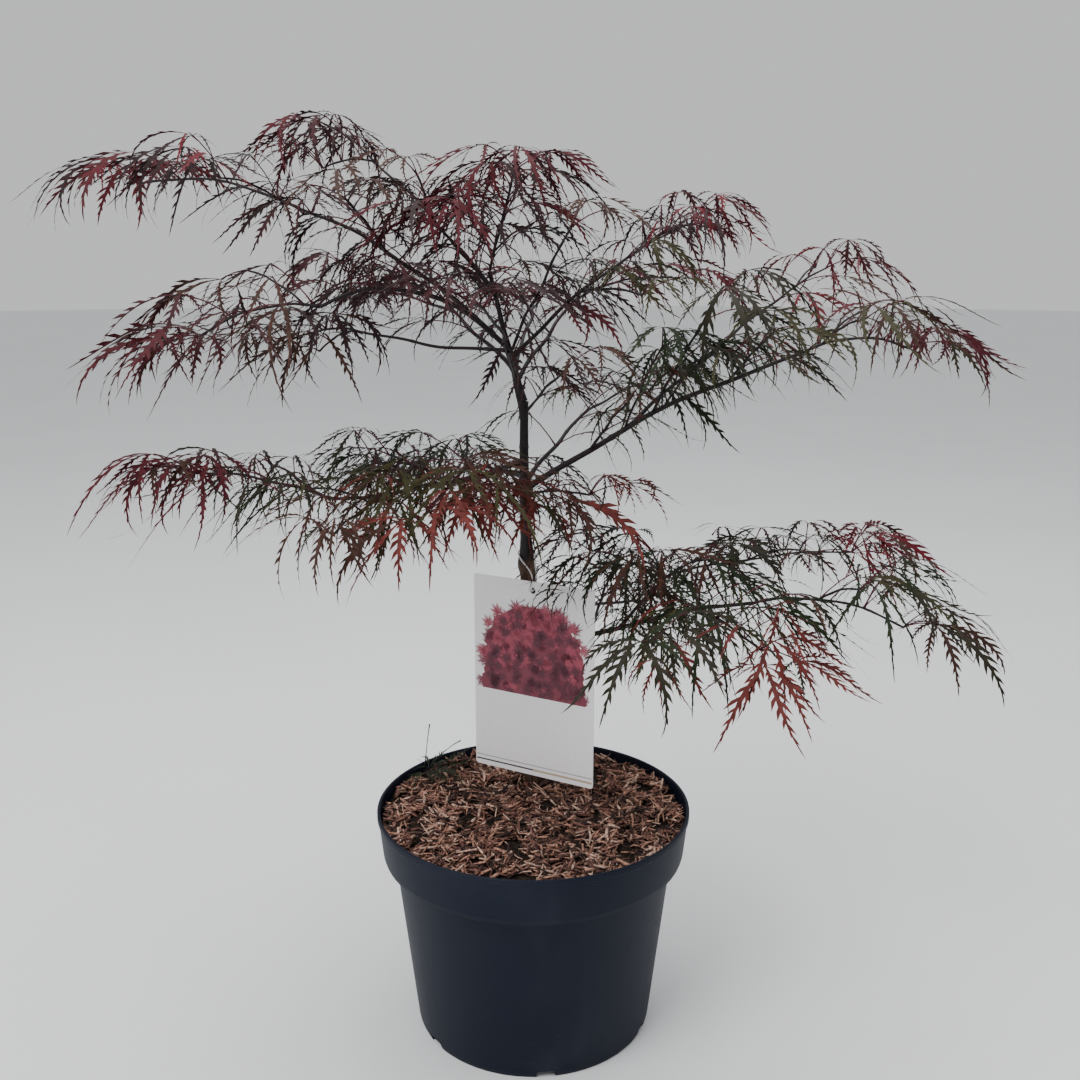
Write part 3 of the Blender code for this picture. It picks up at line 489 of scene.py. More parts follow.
RULES = {  # left, right, bottom, top
    "grey_rule": (-RULE_EDGE, RULE_EDGE, -0.1693, -0.1683),
    "dark_rule": (-RULE_EDGE, 0, -0.1736, -0.1722),
    "tan_rule": (0, RULE_EDGE, -0.1740, -0.1720),
}

# Stage
FLOOR_RADIUS = 14.0
FLOOR_DROP = 0.0002
BACKDROP_STRENGTH = 1.25
LIGHTS = (  # name, share of the key light's power, diameter, where it stands, what it points at
    ("key", 1.0, 1.6, (-1.1, -1.3, 2.3), (0, 0, 0.35)),
    ("overhead", 0.8, 2.2, (0.3, 0.4, 2.6), (0, 0, 0.2)),
)
CAMERA_LENS = 40.147
CAMERA_SENSOR = 36.0
CAMERA_TILT_DEG = 13.66
CAMERA_ASIDE = 0.006


# Settings


def number(name, description, default, **limits):
    return FloatProperty(name=name, description=description, default=default, **limits)


def length(name, description, default):
    return number(name, description, default, min=0.0, unit="LENGTH", precision=4)


def colour(name, description, default):
    return FloatVectorProperty(
        name=name, description=description, default=default, min=0.0, max=1.0, size=3, subtype="COLOR"
    )


class PotSettings(PropertyGroup):
    """The nursery pot."""

    height: length("Height", "From the floor to the rim", 0.205)
    rim_radius: length("Rim radius", "Outside radius of the rim", 0.140)
    collar_height: length("Collar height", "Height of the wider band under the rim", 0.042)
    wall: length("Wall", "Thickness of the plastic", 0.0022)
    plastic: colour("Plastic", "Colour of the moulded plastic", (0.0032, 0.0060, 0.0160))
    dust: colour("Dust", "Colour of dust and scuffs on it", (0.066, 0.072, 0.090))


class MulchSettings(PropertyGroup):
    """The bark chips on top of the fill."""

    chips: IntProperty(name="Chips", description="Number of bark chips", default=8000, min=100, max=9000)
    longest: length("Longest chip", "Length of the longest chips", 0.027)
    layer: length("Layer", "Depth of loose chips over the fill", 0.0065)
    rust: colour("Rust", "Red-brown chips", (0.235, 0.112, 0.086))
    tan: colour("Tan", "Pale inner wood", (0.640, 0.420, 0.325))
    russet: colour("Russet", "Orange-brown chips", (0.470, 0.250, 0.178))
    umber: colour("Umber", "Dark, damp chips", (0.046, 0.027, 0.024))
    cocoa: colour("Cocoa", "Mid-brown chips", (0.118, 0.063, 0.050))
    soil: colour("Soil", "Compost between the chips", (0.012, 0.008, 0.006))


class WoodSettings(PropertyGroup):
    """The trunk, boughs and twigs."""

    relief: length("Relief", "Depth of the bark's ridges on the rootstock", 0.0005)
    rootstock: colour("Rootstock", "Rough grey-brown bark under the graft", (0.105, 0.062, 0.042))
    leader: colour("Leader", "Smooth dark bark above the graft", (0.008, 0.006, 0.007))
    young: colour("Young wood", "Shiny bark of boughs and twigs", (0.009, 0.005, 0.006))
    stalk: colour("Leaf stalk", "Colour of the leaf stalks", (0.070, 0.014, 0.022))


class FoliageSettings(PropertyGroup):
    """The leaves."""

    infill: number("Infill", "Share of the finer shoots that carry leaves", 1.0, min=0.0, max=1.0)
    infill_size: number("Infill size", "Size of their leaves beside the main ones", 0.88, min=0.4, max=1.0)
    spacing: length("Spacing", "Least distance between the hubs of a finer leaf and any other", 0.017)
    reach: length("Reach", "How far a finer leaf's tips may stray from the foliage masses", 0.024)
    back_reach: length("Reach at the back", "The same on the boughs that head backwards", 0.065)


class LabelSettings(PropertyGroup):
    """The hanging plant label."""

    card: colour("Card", "Colour of the label", (0.80, 0.770, 0.780))
    ground_print: colour("Ground print", "Behind the printed leaves", (0.165, 0.018, 0.038))
    light_print: colour("Light print", "Lightest printed leaves", (0.340, 0.050, 0.085))
    mid_print: colour("Middle print", "Middle printed leaves", (0.185, 0.020, 0.044))
    dark_print: colour("Dark print", "Darkest printed leaves", (0.095, 0.010, 0.028))
    tan_rule: colour("Tan rule", "Lower line at the foot, on the right", (0.45, 0.36, 0.24))
    grey_rule: colour("Grey rule", "Upper line at the foot", (0.36, 0.37, 0.39))
    dark_rule: colour("Dark rule", "Lower line at the foot, on the left", (0.020, 0.018, 0.018))
    twine: colour("Twine", "The string's colour", (0.72, 0.72, 0.70))


class StageSettings(PropertyGroup):
    """Floor, light and camera."""

    floor: colour("Floor", "Colour of the floor", (0.80, 0.81, 0.82))
    backdrop: colour("Backdrop", "Colour of the light all round", (0.54, 0.545, 0.55))
    key_power: number("Key light", "Watts of the main soft light", 52.0, min=0.0)
    camera_height: length("Camera height", "Height of the lens over the floor", 0.692)
    camera_distance: length("Camera distance", "From the pot's axis to the lens", 1.0012)


class MapleSettings(PropertyGroup):
    """All sizes and colours of the plant."""

    pot: PointerProperty(type=PotSettings)
    mulch: PointerProperty(type=MulchSettings)
    wood: PointerProperty(type=WoodSettings)
    foliage: PointerProperty(type=FoliageSettings)
    label: PointerProperty(type=LabelSettings)
    stage: PointerProperty(type=StageSettings)


# Materials


class Socket:
    """A shader value. Arithmetic on it adds Math nodes."""

    def __init__(self, finish, output):
        self.finish = finish
        self.output = output

    def math(self, operation, *values):
        return self.finish.node("ShaderNodeMath", {"operation": operation}, dict(enumerate(values)))

    def __add__(self, other):
        return self.math("ADD", self, other)

    def __sub__(self, other):
        return self.math("SUBTRACT", self, other)

    def __rsub__(self, other):
        return self.math("SUBTRACT", other, self)

    def __mul__(self, other):
        return self.math("MULTIPLY", self, other)

    __radd__ = __add__
    __rmul__ = __mul__

    def between(self, low, high):
        """0 below low, 1 above high, and a smooth step in between."""
        settings = {"interpolation_type": "SMOOTHSTEP"}
        return self.finish.node("ShaderNodeMapRange", settings, {"Value": self, 1: low, 2: high})


class Finish:
    """One procedural material with a Principled shader."""

    def __init__(self, name):
        self.material = bpy.data.materials.new(name)
        self.material.use_nodes = True
        self.tree = self.material.node_tree
        self.shader = self.tree.nodes["Principled BSDF"]

    def node(self, kind, settings=None, inputs=None, output=0):
        """Adds a node of any type: its settings first, then its inputs by name or place."""
        made = self.tree.nodes.new(kind)
        for name, value in (settings or {}).items():
            setattr(made, name, value)
        for name, value in (inputs or {}).items():
            self.join(made.inputs[name], value)
        return Socket(self, made.outputs[output])

    def join(self, target, value):
        if isinstance(value, Socket):
            self.tree.links.new(value.output, target)
        elif target.type == "RGBA":
            target.default_value = (*tuple(value)[:3], 1.0)
        else:
            target.default_value = value

    def mix(self, factor, one, other):
        """Colour one where factor is 0 and the other where it is 1."""
        return self.node("ShaderNodeMix", {"data_type": "RGBA"}, {0: factor, 6: one, 7: other}, output=2)

    def place(self, stretch=(1, 1, 1)):
        """Object coordinates, scaled along each axis."""
        at = self.node("ShaderNodeTexCoord", output="Object")
        return self.node("ShaderNodeMapping", None, {"Vector": at, "Scale": stretch})

    def height(self):
        """The height over the floor."""
        return self.node("ShaderNodeSeparateXYZ", None, {0: self.place()}, output=2)

    def noise(self, scale, detail=3.0, stretch=(1, 1, 1)):
        inputs = {"Vector": self.place(stretch), "Scale": scale, "Detail": detail}
        return self.node("ShaderNodeTexNoise", None, inputs)

    def bump(self, height, strength, distance):
        inputs = {"Height": height, "Strength": strength, "Distance": distance}
        return self.node("ShaderNodeBump", None, inputs)

    def set(self, **values):
        """Sets or links the shader's sockets, with a space for each underscore."""
        for name, value in values.items():
            self.join(self.shader.inputs[name.replace("_", " ")], value)
        return self.material


def shade(colour_rgb, factor):
    return tuple(min(channel * factor, 1.0) for channel in colour_rgb)


def pot_plastic(settings):
    """Blue-black moulded plastic with a film of dust, low scuffs and a fine grain."""
    finish = Finish("pot_plastic")
    film = finish.noise(9.0, 4.0).between(0.45, 0.78)
    streaks = finish.noise(26.0, 3.0, (1, 1, 0.10)).between(0.56, 0.80)
    scuffs = finish.noise(60.0, 6.0, (1, 1, 5)).between(0.66, 0.72)
    low_down = 1 - finish.height().between(0.010, 0.060)
    dirt = film * 0.10 + streaks * 0.07 + scuffs * 0.14 + low_down * film * 0.22
    return finish.set(
        Base_Color=finish.mix(dirt, settings.plastic, settings.dust),
        Roughness=dirt * 0.9 + 0.50 + finish.noise(300.0) * 0.05,
        Specular_IOR_Level=0.16,
        Normal=finish.bump(finish.noise(1100.0, 2.0), 0.12, 0.0002),
    )


def chip_wood(name, base):
    """Shredded bark: long fibres of paler and darker wood, and damp, dark patches."""
    finish = Finish(name)
    fibres = finish.noise(420.0, 4.0, (1, 0.30, 1.6))
    damp = finish.noise(70.0, 2.0).between(0.42, 0.66)
    pale = finish.mix(fibres.between(0.35, 0.75), shade(base, 0.55), shade(base, 1.35))
    return finish.set(
        Base_Color=finish.mix(damp * 0.6, pale, shade(base, 0.42)),
        Roughness=0.95 - damp * 0.22,
        Specular_IOR_Level=0.25,
        Normal=finish.bump(fibres, 0.55, 0.0005),
    )


def damp_soil(settings):
    finish = Finish("damp_soil")
    crumbs = finish.noise(260.0, 6.0)
    return finish.set(
        Base_Color=finish.mix(crumbs.between(0.4, 0.7), settings.soil, shade(settings.soil, 3.2)),
        Roughness=0.94,
        Specular_IOR_Level=0.2,
        Normal=finish.bump(crumbs, 0.9, 0.0015),
    )


def stem_bark(settings):
    """Rough grey-brown rootstock that turns into the dark, smooth bark above the graft."""
    finish = Finish("stem_bark")
    union = FILL_TOP + UNION_AT * TRUNK_HEIGHT
    ragged = finish.height() + (finish.noise(160.0, 3.0) - 0.5) * 0.030
    above = ragged.between(union - 0.004, union + 0.010)
    ridges = finish.noise(240.0, 5.0, (1, 1, 0.18))
    flakes = finish.noise(90.0, 4.0, (1, 1, 0.45)).between(0.45, 0.70)
    rough = finish.mix(ridges.between(0.36, 0.66), shade(settings.rootstock, 0.40), settings.rootstock)
    rough = finish.mix(flakes * 0.55, rough, shade(settings.rootstock, 1.9))
    breathing = finish.noise(420.0, 2.0, (1, 1, 0.5)).between(0.66, 0.72)
    smooth = finish.mix(breathing * 0.5, settings.leader, shade(settings.rootstock, 0.9))
    return finish.set(
        Base_Color=finish.mix(above, rough, smooth),
        Roughness=0.88 - above * 0.34,
        Specular_IOR_Level=0.28,
        Normal=finish.bump(ridges * (1 - above * 0.85), 0.7, 0.0008),
    )


def young_bark(settings):
    """Thin, slightly shiny bark with small breathing spots."""
    finish = Finish("young_bark")
    spots = finish.noise(520.0, 2.0).between(0.66, 0.72)
    flush = finish.noise(24.0, 2.0).between(0.35, 0.70)
    base = finish.mix(flush, settings.young, shade(settings.young, 1.7))
    return finish.set(
        Base_Color=finish.mix(spots * 0.5, base, settings.rootstock),
        Roughness=0.50 + flush * 0.12,
        Specular_IOR_Level=0.28,
        Normal=finish.bump(finish.noise(380.0, 3.0), 0.25, 0.0003),
    )


def leaf_finish(name, base):
    """A soft leaf: fine mottling on one plain colour, a low satin gloss and faint veins."""
    finish = Finish(name)
    mottle = finish.noise(150.0, 3.0)
    veins = finish.noise(620.0, 2.0)
    return finish.set(
        Base_Color=finish.mix(mottle.between(0.30, 0.72), shade(base, 0.72), shade(base, 1.30)),
        Roughness=0.56 + veins * 0.14,
        Specular_IOR_Level=0.15,
        Normal=finish.bump(veins, 0.30, 0.0003),
    )


def print_finish(name, base):
    """Ink on satin card, with the slight unevenness of print."""
    finish = Finish(name)
    ink = finish.noise(240.0, 3.0)
    return finish.set(
        Base_Color=finish.mix(ink.between(0.30, 0.75), shade(base, 0.975), shade(base, 1.02)),
        Roughness=0.34 + ink * 0.08,
        Specular_IOR_Level=0.45,
    )


def twine_finish(settings):
    finish = Finish("white_twine")
    strands = finish.noise(900.0, 2.0, (1, 1, 0.5))
    return finish.set(
        Base_Color=finish.mix(strands, shade(settings.twine, 0.72), settings.twine),
        Roughness=0.85,
        Normal=finish.bump(strands, 0.6, 0.0004),
    )


def floor_finish(settings):
    finish = Finish("floor_paint")
    smudges = finish.noise(2.2, 4.0).between(0.35, 0.75)
    return finish.set(
        Base_Color=finish.mix(smudges, settings.floor, shade(settings.floor, 0.97)),
        Roughness=0.62,
        Specular_IOR_Level=0.25,
    )


# Meshes


def in_scene(name, data):
    """A new object in the scene."""
    obj = bpy.data.objects.new(name, data)
    bpy.context.scene.collection.objects.link(obj)
    return obj


def new_piece(name, mesh, material, slot=None, replaces=()):
    """A finished piece of the plant, which rides on its one body."""
    mesh.materials.append(material)
    obj = in_scene(name, mesh)
    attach(obj, "root")
    if replaces:
        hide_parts(*replaces)
    return obj


def mesh_of(name, bm, outwards=True):
    if outwards:
        bmesh.ops.recalc_face_normals(bm, faces=bm.faces)
    mesh = bpy.data.meshes.new(name)
    bm.to_mesh(mesh)
    bm.free()
    return mesh


def soften(mesh, angle_deg):
    """Smooth shading, with edges sharper than this angle kept sharp."""
    mesh.shade_smooth()
    mesh.set_sharp_from_angle(angle=math.radians(angle_deg))
    return mesh


def joined(name, parts):
    """One mesh from many small ones, each (points, triangles) as arrays."""
    if not parts:
        raise RuntimeError(f"{name} has nothing in it")
    starts = np.cumsum([0] + [len(points) for points, _ in parts[:-1]])
    points = np.concatenate([points for points, _ in parts]).astype(np.float32)
    corners = np.concatenate([faces + start for (_, faces), start in zip(parts, starts)]).astype(np.int32)
    mesh = bpy.data.meshes.new(name)
    mesh.vertices.add(len(points))
    mesh.vertices.foreach_set("co", points.ravel())
    mesh.loops.add(corners.size)
    mesh.loops.foreach_set("vertex_index", corners.ravel())
    mesh.polygons.add(len(corners))
    mesh.polygons.foreach_set("loop_start", np.arange(0, corners.size, 3, dtype=np.int32))
    mesh.update(calc_edges=True)
    mesh.validate()
    return mesh


def evaluated_mesh(obj):
    """A new mesh of the object with its modifiers or its bevel applied."""
    graph = bpy.context.evaluated_depsgraph_get()
    return bpy.data.meshes.new_from_object(obj.evaluated_get(graph))


def cut(obj, cutter_mesh):
    """Cuts the cutter's shape out of obj."""
    cutter = in_scene("cutter", cutter_mesh)
    boolean = obj.modifiers.new("cut", "BOOLEAN")
    boolean.operation = "DIFFERENCE"
    boolean.solver = "EXACT"
    boolean.object = cutter
    mesh = evaluated_mesh(obj)
    obj.modifiers.clear()
    obj.data = mesh
    bpy.data.objects.remove(cutter)


def turned(profile, steps):
    """A closed solid turned about Z from a profile of (radius, height) that starts and ends on the axis."""
    bm = bmesh.new()
    points = [bm.verts.new((r, 0, z)) for r, z in profile]
    edges = [bm.edges.new(pair) for pair in zip(points, points[1:])]
    bmesh.ops.spin(
        bm,
        geom=points + edges,
        cent=(0, 0, 0),
        axis=(0, 0, 1),
        angle=2 * math.pi,
        steps=steps,
        use_merge=True,
    )
    bmesh.ops.remove_doubles(bm, verts=bm.verts, dist=1e-5)
    bmesh.ops.recalc_face_normals(bm, faces=bm.faces)
    return bm


def round_off(bm, edges, offset, segments):
    bmesh.ops.bevel(
        bm, geom=edges, affect="EDGES", offset=offset, segments=segments, profile=0.5, material=-1
    )


def ring_edges(bm, radius, height):
    """The edges of the turned ring at this radius and height."""

    def on_ring(vert):
        return abs(vert.co.xy.length - radius) < 1e-4 and abs(vert.co.z - height) < 1e-4

    return [edge for edge in bm.edges if all(on_ring(vert) for vert in edge.verts)]


def interpolate(table, t):
    """Reads a table of (place, value) pairs at t."""
    for (t0, v0), (t1, v1) in zip(table, table[1:]):
        if t <= t1:
            return v0 + (v1 - v0) * (t - t0) / (t1 - t0)
    return table[-1][1]


# Pot


def build_pot(settings):
    """The pot, turned from one profile, with its edges rounded and drain notches cut into its foot."""
    height, rim, wall = settings.height, settings.rim_radius, settings.wall
    collar_foot = height - settings.collar_height
    underside = [
        (0, 0),
        (BOSS_RADIUS, 0),
        (BOSS_RADIUS + RECESS_DEPTH, RECESS_DEPTH),
        (FOOT_RING_RADIUS - RECESS_DEPTH, RECESS_DEPTH),
        (FOOT_RING_RADIUS, 0),
        (BASE_RADIUS - BASE_INSET, 0),
    ]
    outside = [
        (BASE_RADIUS, EDGE_RISE),
        (BODY_TOP_RADIUS, collar_foot - SHOULDER_DROP),
        (COLLAR_FOOT_RADIUS - STEP_OUT, collar_foot),
        (COLLAR_FOOT_RADIUS, collar_foot + EDGE_RISE),
        (rim - STEP_OUT, height - RIM_BEAD - STEP_UP),
        (rim, height - RIM_BEAD),
        (rim, height),
        (rim - RIM_LIP, height),
    ]
    inside = [
        (COLLAR_FOOT_RADIUS - wall, collar_foot + wall),
        (BODY_TOP_RADIUS - wall, collar_foot - SHOULDER_DROP + wall),
        (BASE_RADIUS - wall, FLOOR_TOP),
        (0, FLOOR_TOP),
    ]
    bm = turned(underside + outside + inside, ROUND_STEPS)
    for radius, at, offset in (  # where the edge is, how far it is rounded
        (BASE_RADIUS, EDGE_RISE, 0.0014),
        (BODY_TOP_RADIUS, collar_foot - SHOULDER_DROP, 0.0016),
        (COLLAR_FOOT_RADIUS, collar_foot + EDGE_RISE, 0.0010),
        (rim, height, 0.0008),
        (rim - RIM_LIP, height, 0.0008),
    ):
        round_off(bm, ring_edges(bm, radius, at), offset, 3)
    mesh = mesh_of("nursery_pot", bm)
    obj = new_piece("nursery_pot", mesh, pot_plastic(settings), "black_plastic", ["pot"])
    for i in range(NOTCH_COUNT):
        cut(obj, notch_cutter(NOTCH_FIRST_DEG + 360 / NOTCH_COUNT * i))
    soften(obj.data, 30)


def notch_cutter(angle_deg):
    """A drain notch in the foot: a block with its top edges rounded, set across the base's edge."""
    bm = bmesh.new()
    bmesh.ops.create_cube(bm, size=1.0)
    bmesh.ops.scale(bm, vec=(NOTCH_DEPTH, NOTCH_WIDTH, 2 * NOTCH_HEIGHT), verts=bm.verts)
    upper = [edge for edge in bm.edges if all(vert.co.z > 0 for vert in edge.verts)]
    top = [edge for edge in upper if edge.verts[0].co.y * edge.verts[1].co.y > 0]
    round_off(bm, top, NOTCH_ROUND, 4)
    middle = FOOT_RING_RADIUS - NOTCH_INSET + NOTCH_DEPTH / 2
    bmesh.ops.translate(bm, vec=(middle, 0, 0), verts=bm.verts)
    bmesh.ops.rotate(bm, matrix=Matrix.Rotation(math.radians(angle_deg), 3, "Z"), verts=bm.verts)
    return mesh_of("notch_cutter", bm)


# Mulch


def surface_height(radius):
    """Height of the fill's top at this distance from the axis."""
    slope = (radius - FILL_FLAT_RADIUS) / (FILL_EDGE_RADIUS - FILL_FLAT_RADIUS)
    return FILL_TOP + (FILL_EDGE_TOP - FILL_TOP) * np.clip(slope, 0, 1)


def build_soil(settings):
    """Crumbly compost that shows between the chips, as a closed solid that fills the pot."""
    foot = [(0, FLOOR_TOP + GAP), (BASE_RADIUS - 0.003, FLOOR_TOP + GAP)]
    steps = 26
    top = [FILL_EDGE_RADIUS * (1 - i / steps) for i in range(steps + 1)]
    surface = [(radius, float(surface_height(radius)) - COMPOST_DROP) for radius in top]
    bm = turned(foot + list(FILL_SIDES) + surface, ROUND_STEPS)
    for vert in bm.verts:
        if vert.co.z > CRUMBS_FROM and vert.co.xy.length < FILL_EDGE_RADIUS - 0.002:
            vert.co.z += sum(height * noise.noise(vert.co * fineness) for fineness, height in CRUMBS)
    mesh = mesh_of("compost", bm)
    mesh.shade_smooth()
    new_piece("compost", mesh, damp_soil(settings), "bark_mulch", ["mulch_fill"])


def chip_arrays(settings):
    """All chips at once: bent, tapering slivers of three four-sided sections."""
    rng = np.random.default_rng(CHIP_SEED)
    n = settings.chips
    long = settings.longest * (0.20 + 0.80 * rng.beta(1.3, 2.9, n))
    wide = long * rng.uniform(*CHIP_WIDTH, n) + LEAST_WIDTH
    thick = np.minimum(wide * rng.uniform(*CHIP_DEPTH, n), MOST_DEPTH)
    yaw, around = rng.uniform(0, 2 * np.pi, n), rng.uniform(0, 2 * np.pi, n)
    pitch, roll = rng.normal(0, CHIP_PITCH, n), rng.normal(0, CHIP_ROLL, n)
    upended = rng.random(n) < UPENDED_SHARE
    pitch[upended] = rng.uniform(*UPENDED_PITCH, upended.sum())
    radius = (FILL_EDGE_RADIUS - 0.001) * np.sqrt(rng.random(n))
    radius = np.minimum(radius, FILL_EDGE_RADIUS - 0.5 * long * np.abs(np.cos(yaw - around)) - 0.001)
    depth = settings.layer * rng.beta(1.3, 1.6, n)
    centre = np.stack([radius * np.cos(around), radius * np.sin(around), surface_height(radius) + depth], 1)

    # Each chip's own shape: x along it, y across it, z through it
    along = np.array([-0.5, 0.0, 0.5])
    ends = np.stack([rng.uniform(*CHIP_TAPER, n), np.ones(n), rng.uniform(*CHIP_TAPER, n)], 1)
    bend = rng.normal(0, CHIP_BEND, n)
    section = np.array(CHIP_SECTION)
    x = long[:, None, None] * along[None, :, None] + np.zeros((n, 3, 4))
    slant = long * rng.uniform(*CHIP_SLANT, n)
    x += slant[:, None, None] * section[None, None, :, 0] * np.abs(along)[None, :, None]
    y = wide[:, None, None] * ends[:, :, None] * section[None, None, :, 0]
    y += (long * bend)[:, None, None] * np.array([1.0, 0.0, 1.0])[None, :, None]
    z = thick[:, None, None] * np.sqrt(ends)[:, :, None] * section[None, None, :, 1]
    local = np.stack([x, y, z], -1).reshape(n, 12, 3)
    points = turned_points(local, yaw, pitch, roll) + centre[:, None, :]
    faces = []
    for s in range(2):
        for k in range(4):
            a, b = 4 * s + k, 4 * s + (k + 1) % 4
            faces += [(a, a + 4, b + 4), (a, b + 4, b)]
    faces += [(0, 1, 2), (0, 2, 3), (8, 10, 9), (8, 11, 10)]

    # None through the trunk, and few where the compost shows
    clear = np.hypot(centre[:, 0] - TRUNK_FOOT[0], centre[:, 1] - TRUNK_FOOT[1]) > TRUNK_CLEARING
    patch = np.array([noise.noise(Vector((*place, 5.0))) for place in BARE_PATCHES * centre[:, :2]])
    clear &= rng.random(n) > np.clip(3.8 * (patch - 0.04), 0, 0.96)
    return points[clear], np.array(faces)[:, ::-1], rng


def turned_points(local, yaw, pitch, roll):
    """Each item's points turned by its own roll, pitch and yaw."""
    cr, sr, cp, sp, cy, sy = (f(a)[:, None] for a in (roll, pitch, yaw) for f in (np.cos, np.sin))
    x, y, z = local[..., 0], local[..., 1], local[..., 2]
    y, z = cr * y - sr * z, sr * y + cr * z
    x, z = cp * x + sp * z, cp * z - sp * x
    return np.stack([cy * x - sy * y, sy * x + cy * y, z], -1)


def build_chips(settings):
    """The chips, as one piece for each colour of wood."""
    points, faces, rng = chip_arrays(settings)
    kind = rng.choice(len(CHIP_SHARES), len(points), p=list(CHIP_SHARES.values()))
    for i, name in enumerate(CHIP_SHARES):
        mesh = joined(f"chips_{name}", [(chip, faces) for chip in points[kind == i]])
        new_piece(f"chips_{name}", mesh, chip_wood(f"chip_{name}", getattr(settings, name)), "bark_mulch")


# Directions and paths, as the part has them


def heading(azimuth_deg, pitch_deg=0.0):
    azimuth, pitch = math.radians(azimuth_deg), math.radians(pitch_deg)
    level = math.cos(pitch)
    return Vector((level * math.cos(azimuth), level * math.sin(azimuth), math.sin(pitch)))


class Path:
    """A centre line, at(t), and its radius(t), for t from 0 at its foot to 1 at its end."""

    def direction(self, t):
        step = 0.01
        return (self.at(min(t + step, 1)) - self.at(max(t - step, 0))).normalized()


class TrunkPath(Path):
    """The trunk from the ground to the fork."""

    def at(self, t):
        foot, head = Vector(TRUNK_FOOT), Vector(TRUNK_HEAD)
        across = foot + (head - foot) * (1 - (1 - t) ** 1.35)
        sway = 0.0015 * math.sin(2 * math.pi * t)
        return Vector((across.x + sway, across.y, FILL_TOP + GAP + TRUNK_HEIGHT * t))

    def radius(self, t):
        return interpolate(TRUNK_GIRTH, t)


class ArchPath(Path):
    """A limb: an arch from start towards an azimuth, with a slight seeded wander."""

    def __init__(self, start, azimuth, reach, lift, arch, radius, tip, seed):
        rnd = random.Random(seed)
        self.start = start
        self.end = start + reach * heading(azimuth) + Vector((0, 0, lift))
        self.control = (self.start + self.end) / 2 + Vector((0, 0, 2 * arch))
        self.girth = (radius, tip)
        self.azimuth = azimuth
        self.sideways = heading(azimuth + 90)
        self.wander = WANDER * self.length()
        self.phases = (rnd.uniform(0, 6.3), rnd.uniform(0, 6.3))

    def at(self, t):
        point = (1 - t) ** 2 * self.start + 2 * t * (1 - t) * self.control + t * t * self.end
        ends = 4 * t * (1 - t) * self.wander
        sway = math.sin(9 * t + self.phases[0]) + 0.6 * math.sin(17 * t + self.phases[1])
        bob = math.sin(11 * t + self.phases[1])
        return point + ends * (sway * self.sideways + Vector((0, 0, 0.7 * bob)))

    def radius(self, t):
        foot, tip = self.girth
        return foot + (tip - foot) * t

    def length(self):
        return (self.end - self.start).length


def start_on(parent, at):
    """Where a limb starts on its parent: at its tip with a clearance, or on its centre line."""
    if at < 1:
        return parent.at(at)
    return parent.at(1) + GAP * parent.direction(1)


def mass_seed(name):
    return sum((i + 1) * ord(letter) for i, letter in enumerate(name))


def path_of(name, row, parent, radius, tip):
    start = start_on(parent, row.at)
    return ArchPath(start, row.azimuth, row.reach, row.lift, row.arch, radius, tip, mass_seed(name))


def all_paths():
    """The centre lines of the trunk and boughs, and of the stem of each mass."""
    limbs = {"trunk": TrunkPath()}
    for name, limb in LIMBS.items():
        limbs[name] = path_of(name, limb, limbs[limb.parent], limb.radius, limb.tip)
    stems = {}
    for name, row in MASSES.items():
        radius = min(limbs[row.parent].radius(row.at), STEM_RADIUS)
        stems[name] = path_of(name, row, limbs[row.parent], radius, 0.75 * radius)
    return limbs, stems


# Trunk and boughs


def add_tube(bm, path, rings, sides, swell):
    """Adds a closed tube along a path. swell(t, angle) scales its radius there."""
    previous = None
    for i in range(rings):
        t = i / (rings - 1)
        centre = path.at(t)
        turn = Vector((0, 0, 1)).rotation_difference(path.direction(t)).to_matrix().to_4x4()
        place = Matrix.Translation(centre) @ turn
        ring = bmesh.ops.create_circle(bm, segments=sides, radius=path.radius(t), matrix=place)["verts"]
        for k, vert in enumerate(ring):
            vert.co = centre + (vert.co - centre) * swell(t, 2 * math.pi * k / sides)
        if previous:
            edges = {e for v in ring + previous for e in v.link_edges if e.is_boundary or e.is_wire}
            bmesh.ops.bridge_loops(bm, edges=list(edges))
        else:
            bm.faces.new(ring)
        previous = ring
    bm.faces.new(previous)


def hump(offset, width):
    """1 at no offset, falling off smoothly on both sides."""
    return math.exp(-((offset / width) ** 2))


def build_trunk(settings, path):
    """The trunk with a lobed root flare, ridged rootstock, a lopsided graft union and a smooth leader."""

    def swell(t, angle):
        flare = 0.22 * math.exp(-t / FLARE_RUN) * math.cos(4 * angle + 0.8)
        place = Vector((2.2 * math.cos(angle), 2.2 * math.sin(angle), 26 * t))
        rough = settings.relief / path.radius(t) * (1.0 if t < SMOOTH_FROM else 0.25)
        ridges = rough * (noise.noise(place * 1.6) + 0.6 * noise.noise(place * 4.1))
        lopsided = 0.5 + math.cos(angle - 2.2 + 14 * (t - 0.6))
        union = 0.16 * hump(t - UNION_AT, 0.022) * lopsided
        rings = 0.10 * hump((t * 9.5) % 1.0 - 0.5, 0.045) if t > RINGS_FROM else 0.0
        return 1 + flare + ridges + union + rings

    bm = bmesh.new()
    add_tube(bm, path, 180, 24, swell)
    new_piece("trunk_bark", soften(mesh_of("trunk_bark", bm), 60), stem_bark(settings), "bark", ["trunk"])


def bough_swell(path, at_tip):
    """Rings at the leaf nodes, a collar where the bough leaves its parent and a faint unevenness."""
    span = path.length()
    spacing = RING_SPACING / span

    def swell(t, angle):
        collar = 0.0 if at_tip else 0.55 * math.exp(-t * span / COLLAR_RUN)
        ring = 0.22 * hump(((t / spacing) % 1.0 - 0.5) * spacing * span, RING_WIDTH)
        place = Vector((math.cos(angle), math.sin(angle), 90 * span * t))
        return 1 + collar + ring + 0.06 * noise.noise(place)

    return swell


